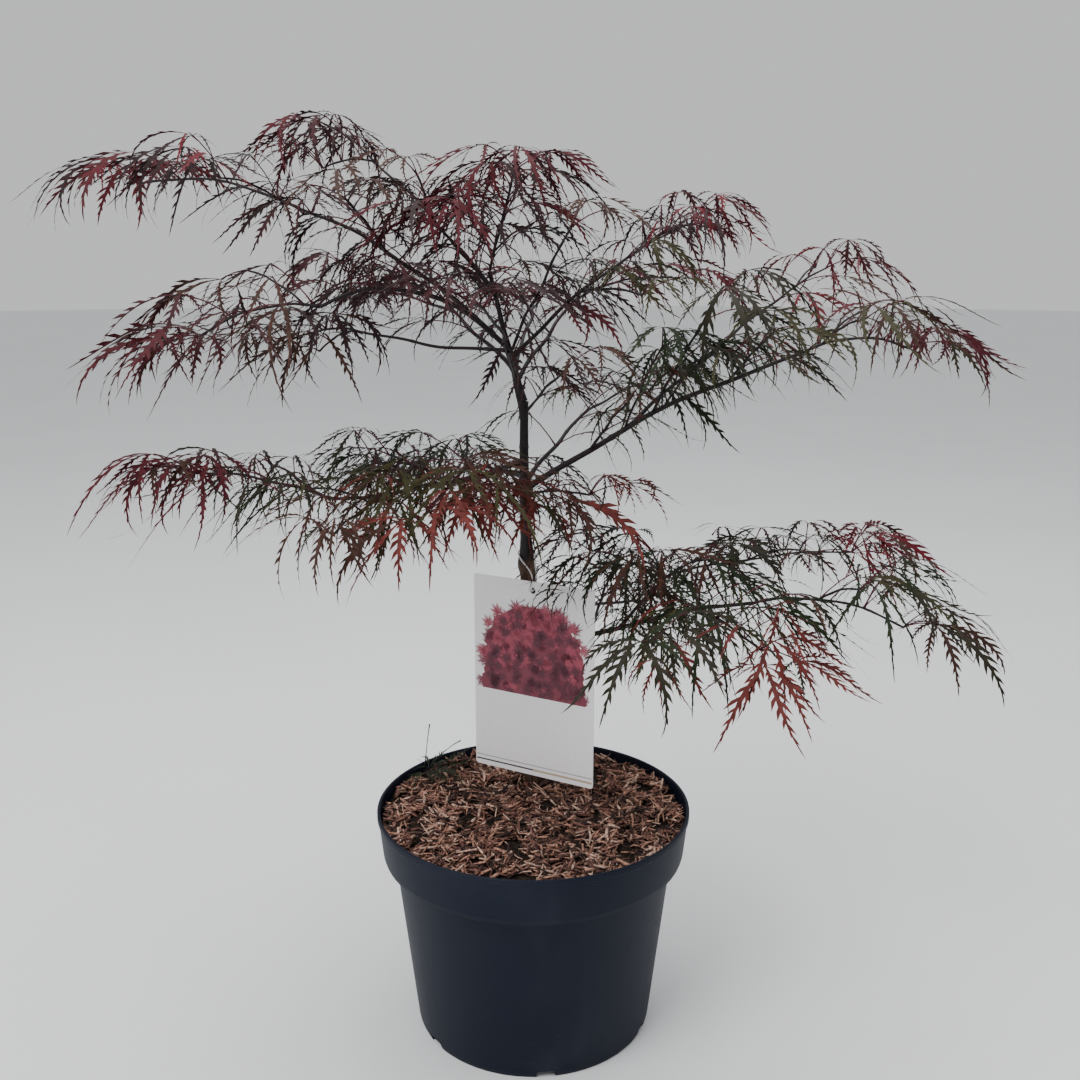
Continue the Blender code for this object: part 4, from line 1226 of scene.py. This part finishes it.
def build_boughs(settings, limbs):
    """All boughs as one piece."""
    bm = bmesh.new()
    for name, limb in LIMBS.items():
        path = limbs[name]
        rings = max(12, round(path.length() / RING_STEP))
        add_tube(bm, path, rings, 10, bough_swell(path, limb.at >= 1))
    new_piece("bough_bark", soften(mesh_of("bough_bark", bm), 60), young_bark(settings), "bark", list(LIMBS))


# The rule that twigs and leaves grow by, as the part has it

Leaf = namedtuple("Leaf", "foot hub azimuth size tilt hang")


def leaf_on(foot, azimuth, petiole, size, rnd):
    """A leaf whose stalk rises from foot and whose blade faces away along azimuth."""
    hub = foot + petiole * heading(azimuth, rnd.uniform(*LEAF_RISE))
    size *= rnd.uniform(*LEAF_SCALE)
    tilt = LEAF_TILT + rnd.uniform(*TILT_SPREAD)
    hang = LEAF_HANG + rnd.uniform(*HANG_SPREAD)
    return Leaf(foot, hub, azimuth, size, tilt, hang)


def fan(foot, azimuth, petiole, size, rnd, turns):
    """The leaves at the end of a twig, one for each turn away from azimuth."""
    return [leaf_on(foot, azimuth + turn + rnd.uniform(-8, 8), petiole, size, rnd) for turn in turns]


def twig_from(foot, azimuth, span, rnd):
    """A twig that rises from foot towards azimuth."""
    lift = rnd.uniform(0.2, 0.5) * span
    return ArchPath(foot, azimuth, span, lift, 0.08 * span, TWIG_RADIUS, 0.8 * TWIG_RADIUS, rnd.random())


def grow(name, row, stem):
    """Shoots in opposite pairs along the stem: (place along it, twig path or None, its leaves)."""
    rnd = random.Random(mass_seed(name))
    steep = row.lift > STEEP * row.reach
    shoots = []
    for node in range(row.nodes):
        t = (node + 0.45) / (row.nodes + 0.35)
        fork = 90 if steep else FORK_ANGLE - 14 * t
        facing = row.azimuth + (90 * node if steep else 0)
        for side in (-1, 1):
            azimuth = facing + side * fork + rnd.uniform(-10, 10)
            span = row.spread * (1.1 - 0.35 * t) * rnd.uniform(0.85, 1.2)
            if span > LONGEST_PETIOLE:
                twig = twig_from(stem.at(t), azimuth, span, rnd)
                turns = (-FAN_ANGLE / 2, FAN_ANGLE)
                shoots.append((t, twig, fan(twig.at(1), azimuth, 0.8 * PETIOLE_LENGTH, row.leaf, rnd, turns)))
            else:
                shoots.append((t, None, [leaf_on(stem.at(t), azimuth, span, row.leaf, rnd)]))
    full = (-120, 0, 120) if steep else (-FAN_ANGLE, 0, FAN_ANGLE)
    turns = full if row.nodes > 1 else (-FAN_ANGLE / 2, FAN_ANGLE / 2)
    shoots.append((1.0, None, fan(stem.at(1), row.azimuth, PETIOLE_LENGTH, row.leaf, rnd, turns)))
    return shoots


def aims(leaf):
    """The leaf as it grew, then turned, lifted and shifted by the steps that the part may have taken."""
    stalk = leaf.hub - leaf.foot
    rise = math.degrees(math.asin(stalk.z / stalk.length))
    for share, size in AIM_SIZES:
        for lift in AIM_LIFTS:
            for turn in AIM_TURNS:
                azimuth = leaf.azimuth + turn
                hub = leaf.foot + share * stalk.length * heading(azimuth, rise + lift)
                yield leaf._replace(hub=hub, azimuth=azimuth, size=size * leaf.size)


def lobe_tip(leaf, turn, share):
    """Where a lobe of the leaf ends."""
    p0 = math.radians(leaf.tilt * math.cos(math.radians(turn)))
    p1 = math.radians(leaf.hang)
    level = leaf.size * share * (math.sin(p1) - math.sin(p0)) / (p1 - p0)
    rise = leaf.size * share * (math.cos(p0) - math.cos(p1)) / (p1 - p0)
    return leaf.hub + level * heading(leaf.azimuth + turn) + Vector((0, 0, rise))


def tree_of(names):
    """A search tree over these nodes of the part."""
    points, faces = [], []
    for name in names:
        mesh = frame["nodes"][name].data
        start = len(points)
        points += [vert.co.copy() for vert in mesh.vertices]
        faces += [[start + i for i in polygon.vertices] for polygon in mesh.polygons]
    return BVHTree.FromPolygons(points, faces)


def off_tree(tree, point):
    return tree.find_nearest(point)[3] or 0.0


def as_in_part(leaf, tree):
    """The aim that the part's own leaf took, or None where it has no such leaf."""
    for aim in aims(leaf):
        if off_tree(tree, lobe_tip(aim, 0, 1.0)) < SAME_PLACE:
            return aim
    return None


def fits(leaf, crown, reach):
    """True if the leaf's hub and longest lobes keep close to the part's foliage."""
    spots = [leaf.hub] + [lobe_tip(leaf, turn, share) for turn, share in LOBES if share > 0.9]
    return all(off_tree(crown, spot) < reach for spot in spots)


# Leaves and twigs as arrays


def lobe_outline(rnd, boldness=1.0):
    """One cut lobe laid flat: (along, across) as shares of its length, and triangles.

    Hooked teeth stand by turns on either side of a narrow blade, which runs out in a thin tail.
    """
    first, last = 0.13, 0.86
    spacing = (last - first) / TEETH
    feet = [first + spacing * (k + rnd.uniform(-0.22, 0.22)) for k in range(TEETH + 1)]
    points, triangles = [], []
    for s in [0.0, 0.07] + feet + [0.93]:
        half = interpolate(BLADE_HALF_WIDTH, s) * (0.40 + 0.60 * boldness) * rnd.uniform(0.85, 1.15)
        points += [(s, half), (s, -half)]
    points.append((1.0, 0.0))
    last_pair = len(points) - 3
    for left in range(0, last_pair, 2):
        triangles += [(left + 1, left + 3, left + 2), (left + 1, left + 2, left)]
    triangles.append((last_pair + 1, last_pair + 2, last_pair))
    for k in range(TEETH):
        side = 1 if k % 2 else -1
        near = 2 * (k + 2) + (0 if side > 0 else 1)
        foot, width = feet[k], feet[k + 1] - feet[k]
        across = points[near][1]
        reach = interpolate(TOOTH_REACH, foot) * boldness * rnd.uniform(0.50, 1.30)
        shoulder = (foot + 0.45 * width + 0.50 * reach, across + side * 0.62 * reach)
        tip = (foot + 1.00 * width + 1.50 * reach, across + side * reach)
        points += [shoulder, tip]
        mid, end = len(points) - 2, len(points) - 1
        if side > 0:
            triangles += [(near, near + 2, mid), (mid, near + 2, end)]
        else:
            triangles += [(near, mid, near + 2), (mid, end, near + 2)]
    return np.array(points), np.array(triangles)


def arched_lobe(leaf, turn, share, outline, rnd):
    """The lobe's points in place: arched over, rolled about its rib, bent aside, with its tail curled."""
    flat, triangles = outline
    span = leaf.size * share * rnd.uniform(*LOBE_SCALE)
    azimuth = math.radians(leaf.azimuth + turn + rnd.uniform(*LOBE_TURN))
    p0 = math.radians(leaf.tilt * math.cos(math.radians(turn)) + rnd.uniform(*LOBE_TILT))
    p1 = math.radians(leaf.hang + rnd.uniform(*LOBE_HANG))
    grid = np.linspace(0, 1, LOBE_STEPS + 1)
    pitch = p0 + (p1 - p0) * grid ** rnd.uniform(*LOBE_CURVE)
    pitch = pitch + TAIL_CURL * rnd.uniform(*LOBE_CURL) * grid**3
    middles = (pitch[1:] + pitch[:-1]) / 2
    level = np.concatenate([[0], np.cumsum(np.cos(middles))]) * span / LOBE_STEPS
    rise = np.concatenate([[0], np.cumsum(np.sin(middles))]) * span / LOBE_STEPS
    along, across = flat[:, 0], flat[:, 1] * span
    level, rise, p = (np.interp(along, grid, values) for values in (level, rise, pitch))
    outward = np.array([math.cos(azimuth), math.sin(azimuth), 0.0])
    side = np.array([-math.sin(azimuth), math.cos(azimuth), 0.0])
    up = np.array([0.0, 0.0, 1.0])
    upper = -np.sin(p)[:, None] * outward + np.cos(p)[:, None] * up
    roll = np.radians(rnd.gauss(0, ROLL_SPREAD) + rnd.uniform(*LOBE_TWIST) * along)[:, None]
    widthways = np.cos(roll) * side + np.sin(roll) * upper
    facing = np.cos(roll) * upper - np.sin(roll) * side
    fold = math.tan(math.radians(rnd.uniform(*LOBE_FOLD)))
    bend = span * (rnd.uniform(*LOBE_BEND) * along**2 + rnd.uniform(*TAIL_BEND) * along**4)
    centre = np.array(leaf.hub) + level[:, None] * outward + rise[:, None] * up + bend[:, None] * side
    points = centre + across[:, None] * widthways + (fold * np.abs(across))[:, None] * facing
    return points, triangles


def tube_arrays(points, radii, sides):
    """A tapering tube through these points, with closed ends."""
    points, radii = np.array(points, float), np.array(radii, float)
    tangents = np.gradient(points, axis=0)
    tangents /= np.linalg.norm(tangents, axis=1)[:, None]
    aside = np.cross(tangents, SKEW)
    aside /= np.linalg.norm(aside, axis=1)[:, None]
    other = np.cross(tangents, aside)
    angles = 2 * np.pi * np.arange(sides) / sides
    around = np.cos(angles)[None, :, None] * aside[:, None] + np.sin(angles)[None, :, None] * other[:, None]
    rings = points[:, None] + radii[:, None, None] * around
    n = len(points)
    i, k = np.meshgrid(np.arange(n - 1), np.arange(sides), indexing="ij")
    a, b = i * sides + k, i * sides + (k + 1) % sides
    quads = np.stack([a, b, b + sides, a, b + sides, a + sides], -1).reshape(-1, 3)
    caps = [(0, k + 1, k) for k in range(1, sides - 1)]
    last = (n - 1) * sides
    caps += [(last, last + k, last + k + 1) for k in range(1, sides - 1)]
    return rings.reshape(-1, 3), np.concatenate([quads, caps])


def twig_arrays(path, steps):
    """A twig, a little thicker at every third step."""
    ts = [i / (steps - 1) for i in range(steps)]
    radii = [path.radius(t) * (1.16 if i % 3 == 2 else 0.96) for i, t in enumerate(ts)]
    return tube_arrays([path.at(t) for t in ts], radii, 6)


def stalk_arrays(leaf):
    """A leaf's stalk: it lifts off the twig, arches and meets the hub from below."""
    rise = 0.16 * (leaf.hub - leaf.foot).length
    middle = (leaf.foot + leaf.hub) / 2 + Vector((0, 0, rise))
    points = [(1 - t) ** 2 * leaf.foot + 2 * t * (1 - t) * middle + t * t * leaf.hub for t, _ in STALK_GIRTH]
    return tube_arrays(points, [radius for _, radius in STALK_GIRTH], 4)


# Foliage

Shoot = namedtuple("Shoot", "t foot azimuth petiole")


def finer_shoots(row, stem, shoots, rnd):
    """Shoots between the main ones: pairs along the stem, and a pair on each twig."""
    found = []
    steep = row.lift > STEEP * row.reach
    steps = 3 * row.nodes + (8 if steep else 4)
    for step in range(steps):
        t = (step + 0.6) / steps
        for side in (-1, 1):
            turn = 120 * step + 90 * side if steep else side * rnd.uniform(20, 85)
            found.append(Shoot(t, stem.at(t), row.azimuth + turn, row.spread * rnd.uniform(0.35, 1.05)))
    for t, twig, _ in shoots:
        if twig:
            for along in (0.4, 0.8):
                for side in (-1, 1):
                    turn = side * rnd.uniform(30, 75)
                    found.append(Shoot(t, twig.at(along), twig.azimuth + turn, 0.6 * PETIOLE_LENGTH))
    for turn in (-30, 30):
        azimuth = row.azimuth + turn + rnd.uniform(-15, 15)
        found.append(Shoot(1.0, stem.at(1), azimuth, 0.7 * PETIOLE_LENGTH))
    return found


def bough_shoots(path, stretch, rnd):
    """Short spurs in pairs along a bough's outer part, stretched where the crown has room for them."""
    run = path.end - path.start
    steep = run.z > STEEP * run.xy.length
    count = max(2, round(run.length / (0.012 if steep else 0.022)))
    for i in range(count):
        t = 0.28 + 0.72 * (i + 0.5) / count
        for side in (-1, 1):
            turn = 105 * i + 90 * side if steep else side * rnd.uniform(35, 100)
            yield Shoot(t, path.at(t), path.azimuth + turn, stretch * rnd.uniform(0.020, 0.040))


class Foliage:
    """Gathers the twigs, stalks and leaves of the crown, by tint."""

    def __init__(self, settings):
        self.settings = settings
        self.outlines = {
            boldness: [lobe_outline(random.Random(kind), boldness) for kind in range(OUTLINES)]
            for boldness in (BROAD, MIDDLE, FINE)
        }
        self.leaves = defaultdict(list)
        self.stalks = []
        self.twigs = []
        self.crown = tree_of(MASSES)
        self.hubs = []

    def add_leaf(self, leaf, tint, boldness, rnd, tints=()):
        """A leaf, mostly of one tint, with some of its lobes in another of its mass's tints."""
        for turn, share in LOBES:
            chosen = rnd.choice(tints) if tints and rnd.random() < MIXED_SHARE else tint
            outline = rnd.choice(self.outlines[boldness])
            self.leaves[chosen].append(arched_lobe(leaf, turn, share, outline, rnd))
        self.stalks.append(stalk_arrays(leaf))
        self.hubs.append(tuple(leaf.hub))

    def spaced(self, leaf):
        apart = np.linalg.norm(np.array(self.hubs) - tuple(leaf.hub), axis=1)
        return apart.min() > self.settings.spacing

    def add_infill(self, shoot, size, tints, rnd, reach, share):
        """A finer leaf, if it can be aimed so that it keeps to the part's foliage. True if it was."""
        t = shoot.t
        if rnd.random() > share * self.settings.infill * (1 - TIP_THINNING * t):
            return False
        size *= self.settings.infill_size
        grown = leaf_on(shoot.foot, shoot.azimuth, shoot.petiole, size, rnd)
        stalk = (grown.hub - grown.foot).length
        for scale in INFILL_SIZES:
            for turn in INFILL_TURNS:
                azimuth = grown.azimuth + turn
                hub = grown.foot + stalk * heading(azimuth, rnd.uniform(*INFILL_RISE))
                leaf = grown._replace(hub=hub, azimuth=azimuth, size=grown.size * scale)
                if self.spaced(leaf) and fits(leaf, self.crown, reach):
                    self.add_leaf(leaf, tint_at(t, tints, rnd), boldness_at(t, rnd), rnd, tints)
                    return True
        return False

    def add_mass(self, name, row, stem):
        """The leaves and twigs that the part has, and returns their shoots."""
        rnd = random.Random(7 * mass_seed(name))
        _, scale = FULLNESS.get(name, FULL)
        sink = Vector((0, 0, SINK.get(name, 0.0)))
        own = tree_of([name])
        shoots = grow(name, row, stem)
        self.twigs.append(twig_arrays(stem, max(5, round(stem.length() / STEM_STEP))))
        for t, twig, leaves in shoots:
            placed = [as_in_part(leaf, own) for leaf in leaves]
            for leaf in filter(None, placed):
                leaf = leaf._replace(size=scale * leaf.size, hub=leaf.hub - sink)
                self.add_leaf(leaf, tint_at(t, row.tints, rnd), boldness_at(t, rnd), rnd, row.tints)
            if twig and any(placed):
                self.twigs.append(twig_arrays(twig, 7))
        return shoots

    def fill_mass(self, name, row, stem, shoots):
        """Finer leaves between the main ones."""
        rnd = random.Random(3 * mass_seed(name))
        share, scale = FULLNESS.get(name, FULL)
        for shoot in finer_shoots(row, stem, shoots, rnd):
            self.add_infill(shoot, scale * row.leaf, row.tints, rnd, self.settings.reach, share)

    def add_spurs(self, name, path, tints):
        """Short leafy spurs along a bough, longer and further out on those that head backwards."""
        rnd = random.Random(5 * mass_seed(name))
        backwards = heading(path.azimuth).y > BACKWARDS
        reach = self.settings.back_reach if backwards else self.settings.reach
        share, scale = FULLNESS.get(name, FULL)
        for shoot in bough_shoots(path, 1.5 if backwards else 1.0, rnd):
            self.add_infill(shoot, SPUR_LEAF * scale, tints, rnd, reach, share)

    def add_spray(self, name, row, parent):
        """A twig with two pairs of leaves along it and three leaves at its end."""
        rnd = random.Random(11 * mass_seed(name))
        start, arch = parent.at(row.at), 0.1 * row.reach
        radii = (TWIG_RADIUS, 0.8 * TWIG_RADIUS)
        twig = ArchPath(start, row.azimuth, row.reach, row.lift, arch, *radii, mass_seed(name))
        leafy = False
        for t, turns in SPRAY_FANS:
            for turn in turns:
                shoot = Shoot(t, twig.at(t), row.azimuth + turn, 0.7 * PETIOLE_LENGTH)
                leafy |= self.add_infill(shoot, SPRAY_LEAF, row.tints, rnd, SPRAY_REACH, 2)
        if leafy:
            self.twigs.append(twig_arrays(twig, 9))


def tint_at(t, tints, rnd):
    """The tint of a shoot at this place along its mass, with a little luck."""
    place = t * len(tints) + rnd.uniform(-0.8, 0.6)
    return tints[int(min(max(place, 0), len(tints) - 1))]


def boldness_at(t, rnd):
    """How broadly a leaf is toothed: mostly broad at the tips, where it is young, and fine further in."""
    place = t + rnd.uniform(-0.6, 0.5)
    return BROAD if place > 0.80 else MIDDLE if place > 0.35 else FINE


def bough_tints(name):
    """The inner tints of the masses that a bough carries."""
    found = [tint for row in MASSES.values() if row.parent == name for tint in row.tints[:2]]
    return found or ["plum"]


def fallen_sprig(foliage):
    """A dropped green sprig that leans on the rim: two bare stalks and a few long, fine leaves."""
    foot = Vector(SPRIG_FOOT)
    rnd = random.Random(SPRIG_SEED)
    for azimuth, petiole, size in SPRIG_LEAVES:
        hub = foot + petiole * heading(azimuth, 20)
        foliage.add_leaf(Leaf(foot, hub, azimuth, size, 10, -20), "green", BROAD, rnd)
        foliage.twigs.append(foliage.stalks.pop())
    for azimuth, rise, span in SPRIG_STALKS:
        foliage.twigs.append(stalk_arrays(Leaf(foot, foot + span * heading(azimuth, rise), azimuth, 0, 0, 0)))


def build_foliage(settings, wood, limbs, stems):
    """The part's own leaves, then finer ones that keep clear of them, as one piece for each tint."""
    foliage = Foliage(settings)
    shoots = {name: foliage.add_mass(name, row, stems[name]) for name, row in MASSES.items()}
    for name, row in MASSES.items():
        foliage.fill_mass(name, row, stems[name], shoots[name])
    for name, row in SPRAYS.items():
        foliage.add_spray(name, row, limbs[row.parent])
    for name in LIMBS:
        foliage.add_spurs(name, limbs[name], bough_tints(name))
    fallen_sprig(foliage)

    for tint, parts in foliage.leaves.items():
        base, slot = TINTS[tint]
        mesh = soften(joined(f"leaves_{tint}", parts), 22)
        stood_for = [name for name, row in MASSES.items() if row.tints[-1] == tint]
        new_piece(f"leaves_{tint}", mesh, leaf_finish(f"leaf_{tint}", base), slot, stood_for)
    twigs = joined("twigs", foliage.twigs)
    twigs.shade_smooth()
    new_piece("twigs", twigs, young_bark(wood), "bark", list(MASSES))
    stalks = joined("leaf_stalks", foliage.stalks)
    stalks.shade_smooth()
    new_piece("leaf_stalks", stalks, leaf_finish("leaf_stalk", wood.stalk), "crimson")


# Label


def card_place():
    turn = Matrix.Rotation(math.radians(CARD_YAW), 4, "Z")
    return Matrix.Translation((0, CARD_Y, CARD_TOP)) @ turn


def build_card(settings):
    """A thin card with round corners and a hole, printed on its front."""
    bm = bmesh.new()
    bmesh.ops.create_cube(bm, size=1.0)
    bmesh.ops.scale(bm, vec=(CARD_WIDTH, CARD_THICKNESS, CARD_HEIGHT), verts=bm.verts)
    through = [edge for edge in bm.edges if edge.verts[0].co.y * edge.verts[1].co.y < 0]
    round_off(bm, through, CARD_CORNER, 8)
    bmesh.ops.translate(bm, vec=(0, 0, -CARD_HEIGHT / 2), verts=bm.verts)
    finish = print_finish("label_card", settings.card)
    card = new_piece("plant_label", mesh_of("plant_label", bm), finish, "white_card", ["label_card"])

    drill = bmesh.new()
    radii = {"radius1": CARD_HOLE_RADIUS, "radius2": CARD_HOLE_RADIUS}
    bmesh.ops.create_cone(drill, cap_ends=True, segments=32, depth=0.02, **radii)
    bmesh.ops.rotate(drill, matrix=Matrix.Rotation(math.pi / 2, 3, "X"), verts=drill.verts)
    bmesh.ops.translate(drill, vec=(0, 0, -CARD_HOLE_DROP), verts=drill.verts)
    cut(card, mesh_of("hole_cutter", drill))
    card.data.transform(card_place())
    soften(card.data, 30)


def printed(name, bm, lift, base):
    """A printed shape in the card's own frame, (across, 0, up), lifted off its front and put in place."""
    bmesh.ops.translate(bm, vec=(0, -CARD_THICKNESS / 2 - lift, 0), verts=bm.verts)
    bmesh.ops.transform(bm, matrix=card_place(), verts=bm.verts)
    new_piece(name, mesh_of(name, bm, outwards=False), print_finish(name, base), "white_card")


def rectangle(left, right, bottom, top):
    bm = bmesh.new()
    bmesh.ops.create_grid(bm, x_segments=1, y_segments=1, size=0.5)
    bmesh.ops.scale(bm, vec=(right - left, top - bottom, 1), verts=bm.verts)
    bmesh.ops.rotate(bm, matrix=Matrix.Rotation(math.pi / 2, 3, "X"), verts=bm.verts)
    bmesh.ops.translate(bm, vec=((left + right) / 2, 0, (bottom + top) / 2), verts=bm.verts)
    return bm


def trimmed(bm, left, right, bottom, top):
    """Cuts away what lies outside the rectangle."""
    for point, normal in (
        ((left, 0, 0), (-1, 0, 0)),
        ((right, 0, 0), (1, 0, 0)),
        ((0, 0, bottom), (0, 0, -1)),
        ((0, 0, top), (0, 0, 1)),
    ):
        geom = bm.verts[:] + bm.edges[:] + bm.faces[:]
        bmesh.ops.bisect_plane(bm, geom=geom, plane_co=point, plane_no=normal, clear_outer=True)
    return bm


def leaf_motif(across, up, size, turn_deg, outlines, rnd):
    """A small palmate leaf laid flat on the card."""
    parts = []
    for turn, share in LOBES:
        flat, triangles = rnd.choice(outlines)
        angle = math.radians(turn_deg + 0.95 * turn)
        ahead = np.array([math.sin(angle), 0, math.cos(angle)])
        aside = np.array([-math.cos(angle), 0, math.sin(angle)])
        wide = 2.2 * flat[:, 1:2]
        centre = np.array([across, 0, up])
        parts.append((centre + size * share * (flat[:, :1] * ahead + wide * aside), triangles))
    return parts


def print_edges(share):
    """The printed bush's left and right edge at this share of its height: a plain rounded mound."""
    half = interpolate(PRINT_HALF_WIDTH, share) * CARD_WIDTH
    return -half, half


def print_height(share):
    return PRINT_FOOT + (PRINT_TOP - PRINT_FOOT) * share


def print_ground(rnd):
    """The printed bush's ragged outline, filled."""
    bm = bmesh.new()
    steps = 40
    rows = []
    for i in range(steps + 1):
        left, right = print_edges(i / steps)
        left, right = left + rnd.uniform(0.001, 0.005), right - rnd.uniform(0.001, 0.005)
        up = print_height(i / steps)
        rows.append([bm.verts.new((left, 0, up)), bm.verts.new((right, 0, up))])
    for (a, b), (d, c) in zip(rows, rows[1:]):
        bm.faces.new((a, b, c, d))
    return bm


def build_print(settings):
    """A round bush of small palmate leaves, lighter towards its top, and thin rules at the card's foot."""
    rnd = random.Random(PRINT_SEED)
    printed("print_ground", print_ground(rnd), PRINT_LIFT, settings.ground_print)
    outlines = [lobe_outline(random.Random(kind)) for kind in range(3)]
    edge = CARD_WIDTH / 2 - PRINT_MARGIN
    for name, size, (low, high), lift in PRINT_LAYERS:
        parts = []
        for row in range(PRINT_ROWS):
            share = (row + rnd.uniform(0.2, 0.8)) / PRINT_ROWS
            left, right = print_edges(share)
            up = print_height(share)
            for column in range(PRINT_COLUMNS):
                across = left + (right - left) * (column + rnd.uniform(0, 1)) / PRINT_COLUMNS
                if rnd.random() < low + (high - low) * share:
                    parts += leaf_motif(across, up, size, rnd.uniform(0, 360), outlines, rnd)
        bm = bmesh.new()
        bm.from_mesh(joined(name, parts))
        printed(name, trimmed(bm, -edge, edge, PRINT_FOOT, PRINT_LIMIT), lift, getattr(settings, name))
    for name, place in RULES.items():
        printed(name, rectangle(*place), PRINT_LIFT, getattr(settings, name))


def string_route():
    """A closed loop through the card's hole, over its top edge and round the back of the trunk."""
    place = card_place()
    hole = place @ Vector((0, 0, -CARD_HOLE_DROP))
    out = place.to_3x3() @ Vector((0, -1, 0))
    up = Vector((0, 0, 1))
    path = TrunkPath()
    t = (STRING_TOP - FILL_TOP) / TRUNK_HEIGHT
    clear = path.radius(t) + STRING_STAND_OFF
    route = [hole + outwards * out + upwards * up for outwards, upwards in (*STRING_FRONT, STRING_BACK)]
    for angle in STRING_ROUND:
        slope = STRING_SLOPE * abs(angle - 90) / 90
        route.insert(-1, path.at(t) + clear * heading(angle, -slope))
    return route


def build_string(settings):
    """The string, swept along its route."""
    curve = bpy.data.curves.new("label_twine", "CURVE")
    curve.dimensions = "3D"
    curve.bevel_depth = STRING_RADIUS
    curve.bevel_resolution = 2
    curve.resolution_u = 8
    spline = curve.splines.new("BEZIER")
    route = string_route()
    spline.bezier_points.add(len(route) - 1)
    spline.use_cyclic_u = True
    for place, point in zip(spline.bezier_points, route):
        place.co = point
        place.handle_left_type = place.handle_right_type = "AUTO"
    guide = in_scene("twine_guide", curve)
    mesh = evaluated_mesh(guide)
    bpy.data.objects.remove(guide)
    mesh.materials.clear()
    mesh.shade_smooth()
    new_piece("label_twine", mesh, twine_finish(settings), "white_string", ["label_string"])


# Stage


def build_floor(settings):
    bm = bmesh.new()
    bmesh.ops.create_circle(bm, cap_ends=True, segments=96, radius=FLOOR_RADIUS)
    bmesh.ops.translate(bm, vec=(0, 0, -FLOOR_DROP), verts=bm.verts)
    mesh = mesh_of("floor", bm)
    mesh.materials.append(floor_finish(settings))
    floor = in_scene("floor", mesh)


def add_light(name, power, size, location, aim):
    light = bpy.data.lights.new(name, "AREA")
    light.energy = power
    light.shape = "DISK"
    light.size = size
    obj = in_scene(name, light)
    obj.location = location
    obj.rotation_euler = (Vector(aim) - Vector(location)).to_track_quat("-Z", "Y").to_euler()


def build_stage(settings):
    """The floor, the light all round, two soft lights and the camera."""
    build_floor(settings)
    world = bpy.data.worlds.new("soft_light")
    world.use_nodes = True
    background = world.node_tree.nodes["Background"]
    background.inputs["Color"].default_value = (*settings.backdrop, 1.0)
    background.inputs["Strength"].default_value = BACKDROP_STRENGTH
    bpy.context.scene.world = world
    for name, share, size, location, aim in LIGHTS:
        add_light(name, share * settings.key_power, size, location, aim)
    camera = bpy.data.cameras.new("camera")
    camera.lens = CAMERA_LENS
    camera.sensor_width = CAMERA_SENSOR
    camera.clip_start = 0.05
    obj = in_scene("camera", camera)
    obj.location = (CAMERA_ASIDE, -settings.camera_distance, settings.camera_height)
    obj.rotation_euler = (math.radians(90 - CAMERA_TILT_DEG), 0, 0)
    bpy.context.scene.camera = obj


# Operators, panel and registration


class MAPLE_OT_pot(Operator):
    """Builds the nursery pot"""

    bl_idname = "maple.pot"
    bl_label = "Pot"

    def execute(self, context):
        build_pot(context.scene.maple.pot)
        return {"FINISHED"}


class MAPLE_OT_mulch(Operator):
    """Builds the compost and the bark chips on it"""

    bl_idname = "maple.mulch"
    bl_label = "Mulch"

    def execute(self, context):
        build_soil(context.scene.maple.mulch)
        build_chips(context.scene.maple.mulch)
        return {"FINISHED"}


class MAPLE_OT_wood(Operator):
    """Builds the trunk and the boughs, with their bark"""

    bl_idname = "maple.wood"
    bl_label = "Trunk and boughs"

    def execute(self, context):
        limbs, _ = all_paths()
        build_trunk(context.scene.maple.wood, limbs["trunk"])
        build_boughs(context.scene.maple.wood, limbs)
        return {"FINISHED"}


class MAPLE_OT_foliage(Operator):
    """Grows the twigs, leaf stalks and leaves"""

    bl_idname = "maple.foliage"
    bl_label = "Foliage"

    def execute(self, context):
        limbs, stems = all_paths()
        build_foliage(context.scene.maple.foliage, context.scene.maple.wood, limbs, stems)
        return {"FINISHED"}


class MAPLE_OT_label(Operator):
    """Builds the plant label, its printed pattern and its string"""

    bl_idname = "maple.label"
    bl_label = "Label"

    def execute(self, context):
        build_card(context.scene.maple.label)
        build_print(context.scene.maple.label)
        build_string(context.scene.maple.label)
        return {"FINISHED"}


class MAPLE_OT_stage(Operator):
    """Builds the floor, the lights and the camera"""

    bl_idname = "maple.stage"
    bl_label = "Stage"

    def execute(self, context):
        build_stage(context.scene.maple.stage)
        return {"FINISHED"}


OPERATORS = (
    MAPLE_OT_pot,
    MAPLE_OT_mulch,
    MAPLE_OT_wood,
    MAPLE_OT_foliage,
    MAPLE_OT_label,
    MAPLE_OT_stage,
)


class MAPLE_PT_panel(Panel):
    """Lists the pieces of the potted maple"""

    bl_idname = "MAPLE_PT_panel"
    bl_label = "Potted maple"
    bl_space_type = "VIEW_3D"
    bl_region_type = "UI"
    bl_category = "Maple"

    def draw(self, context):
        for operator in OPERATORS:
            self.layout.operator(operator.bl_idname)
        for group in ("pot", "mulch", "wood", "foliage", "label", "stage"):
            box = self.layout.box()
            settings = getattr(context.scene.maple, group)
            box.label(text=group.capitalize())
            for name in settings.bl_rna.properties.keys():
                if name not in ("rna_type", "name"):
                    box.prop(settings, name)


GROUPS = (
    PotSettings,
    MulchSettings,
    WoodSettings,
    FoliageSettings,
    LabelSettings,
    StageSettings,
    MapleSettings,
)


CLASSES = (*GROUPS, *OPERATORS, MAPLE_PT_panel)


def register():
    for cls in CLASSES:
        bpy.utils.register_class(cls)
    bpy.types.Scene.maple = PointerProperty(type=MapleSettings)


def unregister():
    del bpy.types.Scene.maple
    for cls in reversed(CLASSES):
        bpy.utils.unregister_class(cls)


def main():
    register()
    for name in ("stage", "pot", "mulch", "wood", "foliage", "label"):
        getattr(bpy.ops.maple, name)()


if __name__ == "__main__":
    main()
